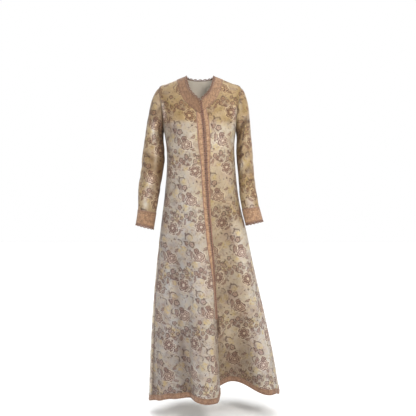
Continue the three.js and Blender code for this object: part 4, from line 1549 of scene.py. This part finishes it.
def addBraid(node, cloth, points, normals, strips, along, closed=False):
    rowCount = len(points)
    count = len(points[0])
    acrossCount = count if along == "rows" else rowCount
    depth = next(deep for kind, deep in braidDepth.items() if node.startswith(kind))
    middle = acrossCount // 2
    placed = [[None] * count for _ in range(rowCount)]
    tones = [[None] * count for _ in range(rowCount)]
    lines = points if along == "rows" else [[points[r][c] for r in range(rowCount)] for c in range(count)]
    distance = 0.0
    for i, line in enumerate(lines):
        if i:
            distance += (line[middle] - lines[i - 1][middle]).length
        lengths = runLengths(line)
        for j, length in enumerate(lengths):
            r, c = (i, j) if along == "rows" else (j, i)
            placed[r][c] = (length - lengths[-1] / 2, distance)
            share = j / (acrossCount - 1)
            outer = min(share, 1 - share) * strips
            rosy = 1 - smooth((outer - braidShares["cordHalf"]) / braidShares["rosy"])
            if node.startswith("hem"):
                rosy = hemRosy
            tones[r][c] = (rosy, bump((outer - braidShares["sewnAt"]) / braidShares["rosy"]), depth, 1)
    around = distance + (lines[0][middle] - lines[-1][middle]).length

    def height(r, c):
        return stripHeight((c if along == "rows" else r) / (acrossCount - 1), strips)

    under = braidShape["laid"]
    ends = {"closed": True, "wrapV": around} if closed else {}
    piece = makeWall(f"{node}_braid", points, normals, height, under, placed, tones, [braidCloth], **ends)
    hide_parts(node)
    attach(piece, "root")
    trimsOf[cloth].append(piece)


def finer(points, normals, between, along):
    # more lines across a strip, so that its corded edges are round
    def partWay(first, second):
        return [first.lerp(second, k / between) for k in range(between)]

    def split(lines):
        if along == "columns":
            columns = [splitLine(column) for column in zip(*lines)]
            return [list(line) for line in zip(*columns)]
        return [splitLine(line) for line in lines]

    def splitLine(line):
        return [part for a, b in zip(line, line[1:]) for part in partWay(a, b)] + [line[-1]]

    return split(points), [[part.normalized() for part in line] for line in split(normals)]


def patch(side, firstRow, lastRow, firstColumn, lastColumn):
    points, normals = panels[side]
    return (
        [line[firstColumn:lastColumn + 1] for line in points[firstRow:lastRow + 1]],
        [line[firstColumn:lastColumn + 1] for line in normals[firstRow:lastRow + 1]],
    )


hemRow = len(rows) - 1 - grid["hemRows"]
for side, cloth in (("right", "front_right"), ("left", "front_left"), ("back", "back")):
    last = len(panels[side][0][0]) - 1
    first = 0 if side == "back" else 1
    neck = finer(*patch(side, 0, bandRow, first, last), 3, "columns")
    addBraid(f"neck_band_{side}", cloth, *neck, 3, "columns")
    hem = finer(*patch(side, hemRow, len(rows) - 1, 0, last), 3, "columns")
    addBraid(f"hem_band_{side}", cloth, *hem, 1, "columns")
for side in ("right", "left"):
    points, normals = patch(side, bandRow, slitRow, 1, 1 + grid["bandColumns"])
    gap = cut["seamGap"]
    points[0] = [point + (below - point).normalized() * gap for point, below in zip(points[0], points[1])]
    addBraid(f"front_band_{side}", f"front_{side}", *finer(points, normals, 2, "rows"), 1, "rows")
for side in ("right", "left"):
    points, normals, cuffRow = sleeves[side]
    cuff = finer(points[cuffRow:], normals[cuffRow:], 2, "columns")
    addBraid(f"cuff_{side}", f"sleeve_{side}", *cuff, 3, "columns", closed=True)
print("braids laid")

# Picot edging: a cord along the edge and a scallop of three cords in each step.
picot = {
    "edgeRadius": 1.4,
    "loopRadius": 1.15,
    "perFront": 10,
    "acrossBack": 9,
    "perCuff": 15,
    "steps": 10,
    "clear": 1.7,
    "laid": 0.2,
    "rise": 0.5,
    "spread": 0.47,
    "cordSteps": 6,
    "trim": 1.5,
}
picotLoops = ((7.4, 1.0), (5.2, 0.72), (2.0, 0.24))  # height and share of the scallop's width


def edgeFrame(edge, inner, normals, closed):
    points = edge + edge[:1] if closed else edge
    lengths = runLengths(points)

    def at(distance):
        distance = clamp(distance, 0, lengths[-1] - 1e-6)
        k = max(i for i, length in enumerate(lengths[:-1]) if length <= distance)
        t = (distance - lengths[k]) / (lengths[k + 1] - lengths[k])
        point = points[k].lerp(points[k + 1], t)
        far = (k + 1) % len(normals)
        normal = normals[k].lerp(normals[far], t).normalized()
        beyond = (points[k + 1] - points[k]).cross(normal).normalized()
        if beyond.dot(point - inner[k]) < 0:
            beyond = -beyond
        return point, normal, beyond

    return at, lengths[-1]


def addPicot(node, cloth, edge, inner, normals, count, closed=False):
    at, total = edgeFrame(edge, inner, normals, closed)
    trim = 0 if closed else picot["trim"]
    pitch = (total - 2 * trim) / count
    paths = []
    cord = []
    pieces = count * picot["cordSteps"]
    for i in range(pieces if closed else pieces + 1):
        point, normal, beyond = at(trim + (total - 2 * trim) * i / pieces)
        cord.append(point + beyond * picot["clear"] + normal * picot["laid"])
    paths.append((cord, picot["edgeRadius"], closed))
    for i in range(count):
        middle = trim + (i + 0.5) * pitch
        for height, share in picotLoops:
            loop = []
            for k in range(picot["steps"] + 1):
                turn = math.pi * k / picot["steps"]
                along = middle - math.cos(turn) * pitch * picot["spread"] * share
                point, normal, beyond = at(along)
                out = picot["clear"] + height * math.sin(turn)
                lift = picot["laid"] + picot["rise"] * math.sin(turn)
                loop.append(point + beyond * out + normal * lift)
            paths.append((loop, picot["loopRadius"], False))
    piece = makeTubes(f"{node}_picot", paths, [picotCord], 6)
    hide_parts(node)
    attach(piece, "root")
    trimsOf[cloth].append(piece)


for side in ("right", "left"):
    points, normals = panels[side]
    edges = points[0][1:], points[1][1:], normals[0][1:]
    addPicot(f"neck_edging_{side}", f"front_{side}", *edges, picot["perFront"])
    points, normals, _ = sleeves[side]
    edges = points[-1], points[-2], normals[-1]
    addPicot(f"cuff_edging_{side}", f"sleeve_{side}", *edges, picot["perCuff"], closed=True)
points, normals = panels["back"]
addPicot("neck_edging_back", "back", points[0], points[1], normals[0], picot["acrossBack"])
print("picot edging worked")

# Knotted buttons down the centre front, each held by a cord loop across the lane.
buttons = {
    "pitch": 9.4,
    "radius": 3.7,
    "lift": 3.7,
    "rings": 8,
    "sides": 12,
    "flat": 0.86,
    "strands": 3,
    "bulge": 0.11,
    "uneven": 0.08,
    "loop": 0.75,
    "loopFrom": 0.7,
    "loopSteps": 6,
    "loopLift": (2.4, 2.0),
    "reach": 9.5,
    "sag": 1.4,
}
centreRows = {"from": 0.05, "step": 0.01}  # where the centre line is measured, in rows


def centreLine():
    line = []
    row = centreRows["from"]
    while row < rowOf["slit"]:
        angle = sectionAt(row)["centreAngle"]
        point = bodyPoint(angle, row)
        aside = bodyPoint(angle + 0.5, row) - bodyPoint(angle - 0.5, row)
        down = bodyPoint(angle, row + 2 * centreRows["step"]) - point
        normal = aside.cross(down).normalized()
        line.append((point, -normal if normal.y > 0 else normal, aside.normalized()))
        row += centreRows["step"]
    return line


def tieKnot(verts, faces, number, centre, normal, aside, down):
    base = len(verts)
    rings = buttons["rings"]
    sides = buttons["sides"]
    for ring in range(rings + 1):
        tip = math.pi * ring / rings
        for s in range(sides):
            turn = 2 * math.pi * s / sides
            knot = 1 + buttons["bulge"] * math.sin(buttons["strands"] * turn + 4 * tip) * math.sin(tip)
            worn = 0.96 + buttons["uneven"] * noise.noise(Vector((number * 3.1, ring, s)))
            level = aside * math.cos(turn) + down * math.sin(turn)
            away = normal * math.cos(tip) * buttons["flat"] + level * math.sin(tip)
            verts.append((centre + away * buttons["radius"] * knot * worn) * mm)
    for ring in range(rings):
        for s in range(sides):
            near = (s + 1) % sides
            a = base + ring * sides
            faces.append([a + s, a + near, a + sides + near, a + sides + s])


def cordLoop(point, normal, aside, down):
    loop = []
    for step in range(buttons["loopSteps"] + 1):
        t = step / buttons["loopSteps"]
        off = aside * mix(buttons["radius"] * buttons["loopFrom"], buttons["reach"], t)
        lift = mix(*buttons["loopLift"], t) + 0.5 * math.sin(math.pi * t)
        loop.append(point + off + normal * lift + down * buttons["sag"] * math.sin(t * math.pi))
    return loop, buttons["loop"], False


line = centreLine()
lengths = runLengths([point for point, _, _ in line])
count = int(lengths[-1] / buttons["pitch"])
verts, faces, loops = [], [], []
k = 0
for number in range(count):
    while lengths[k + 1] < (number + 0.5) * lengths[-1] / count:
        k += 1
    point, normal, aside = line[k]
    down = aside.cross(normal).normalized()
    tieKnot(verts, faces, number, point + normal * buttons["lift"], normal, aside, down)
    for sign in (-1, 1):
        loops.append(cordLoop(point, normal, aside * sign, down * (1 if number % 2 else -1)))
knots = finishMesh("button_row_knots", newMesh("button_row_knots", verts, faces), [buttonCord], 80)
loopPiece = makeTubes("button_row_loops", loops, [loopCord], 6)
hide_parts("button_row")
for piece in (knots, loopPiece):
    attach(piece, "root")
print("buttons knotted")

# Each cloth piece is looked up, with the trims sewn to it.
for node, trims in trimsOf.items():
    cloth = bpy.data.objects[f"{node}_cloth"]

# Soft studio light, pale floor and camera. The world is white round the horizon, dimmer above it
# and brightest overhead.
studio = {
    "floor": 1480,
    "floorSize": 24000,
    "horizon": 1.0,
    "overhead": 0.35,
    "zenith": 3.0,
    "camera": (35, -2500, -576),
    "focal": 568,
    "picture": 416,
    "sensor": 36,
}
# Lamps: place and aim in metres, size, power and colour.
lamps = {
    "key_light": ((1.5, -2.6, 1.2), (0, 0, -0.6), 1.0, 56, (1, 0.96, 0.92)),
    "fill_light": ((-2.2, -2.2, 0.1), (0, 0, -0.7), 1.6, 18, (0.94, 0.97, 1)),
    "back_light": ((-0.6, 2.2, 1.8), (0, 0, -0.5), 1.6, 22, (1, 1, 1)),
}


def addFloor():
    size = studio["floorSize"] * mm / 2
    z = -studio["floor"] * mm
    corners = [(-size, -size, z), (size, -size, z), (size, size, z), (-size, size, z)]
    mesh = newMesh("studio_floor", corners, [(0, 1, 2, 3)])
    finish, shader = startFinish("pale paper", {"Roughness": 0.9})
    mottled = roughNoise(objectPlace(), 0.6)
    colour = blend(mottled, (0.93, 0.93, 0.93, 1), (0.95, 0.95, 0.95, 1))
    feed(colour, shader.inputs["Base Color"])
    mesh.materials.append(finish)
    floor = addObject("studio_floor", mesh)


def addLight(name, place, aim, size, power, colour):
    light = bpy.data.lights.new(name, "AREA")
    light.shape = "DISK"
    light.size = size
    light.energy = power
    light.color = colour
    lamp = addObject(name, light)
    lamp.location = place
    lamp.rotation_euler = (Vector(aim) - Vector(place)).to_track_quat("-Z", "Y").to_euler()


def addCamera():
    data = bpy.data.cameras.new("studio_camera")
    data.sensor_width = studio["sensor"]
    data.lens = studio["focal"] / studio["picture"] * studio["sensor"]
    camera = addObject("studio_camera", data)
    camera.location = [part * mm for part in studio["camera"]]
    camera.rotation_euler = (math.pi / 2, 0, 0)
    bpy.context.scene.camera = camera


def addWorld():
    world = bpy.data.worlds.new("studio")
    world.use_nodes = True
    building["tree"] = world.node_tree
    _, _, height = splitVector(addNode("TexCoord").outputs["Generated"])
    horizon, above, zenith = ((*[studio[key]] * 3, 1) for key in ("horizon", "overhead", "zenith"))
    colour = blend(steep(absolute(height), 8.0, 0.44), horizon, above)
    colour = blend(steep(height, 8.0, 0.84), colour, zenith)
    feed(colour, world.node_tree.nodes["Background"].inputs["Color"])
    bpy.context.scene.world = world


addWorld()
bpy.context.scene.view_settings.view_transform = "Standard"
addFloor()
for name, settings in lamps.items():
    addLight(name, *settings)
addCamera()
print("studio set")
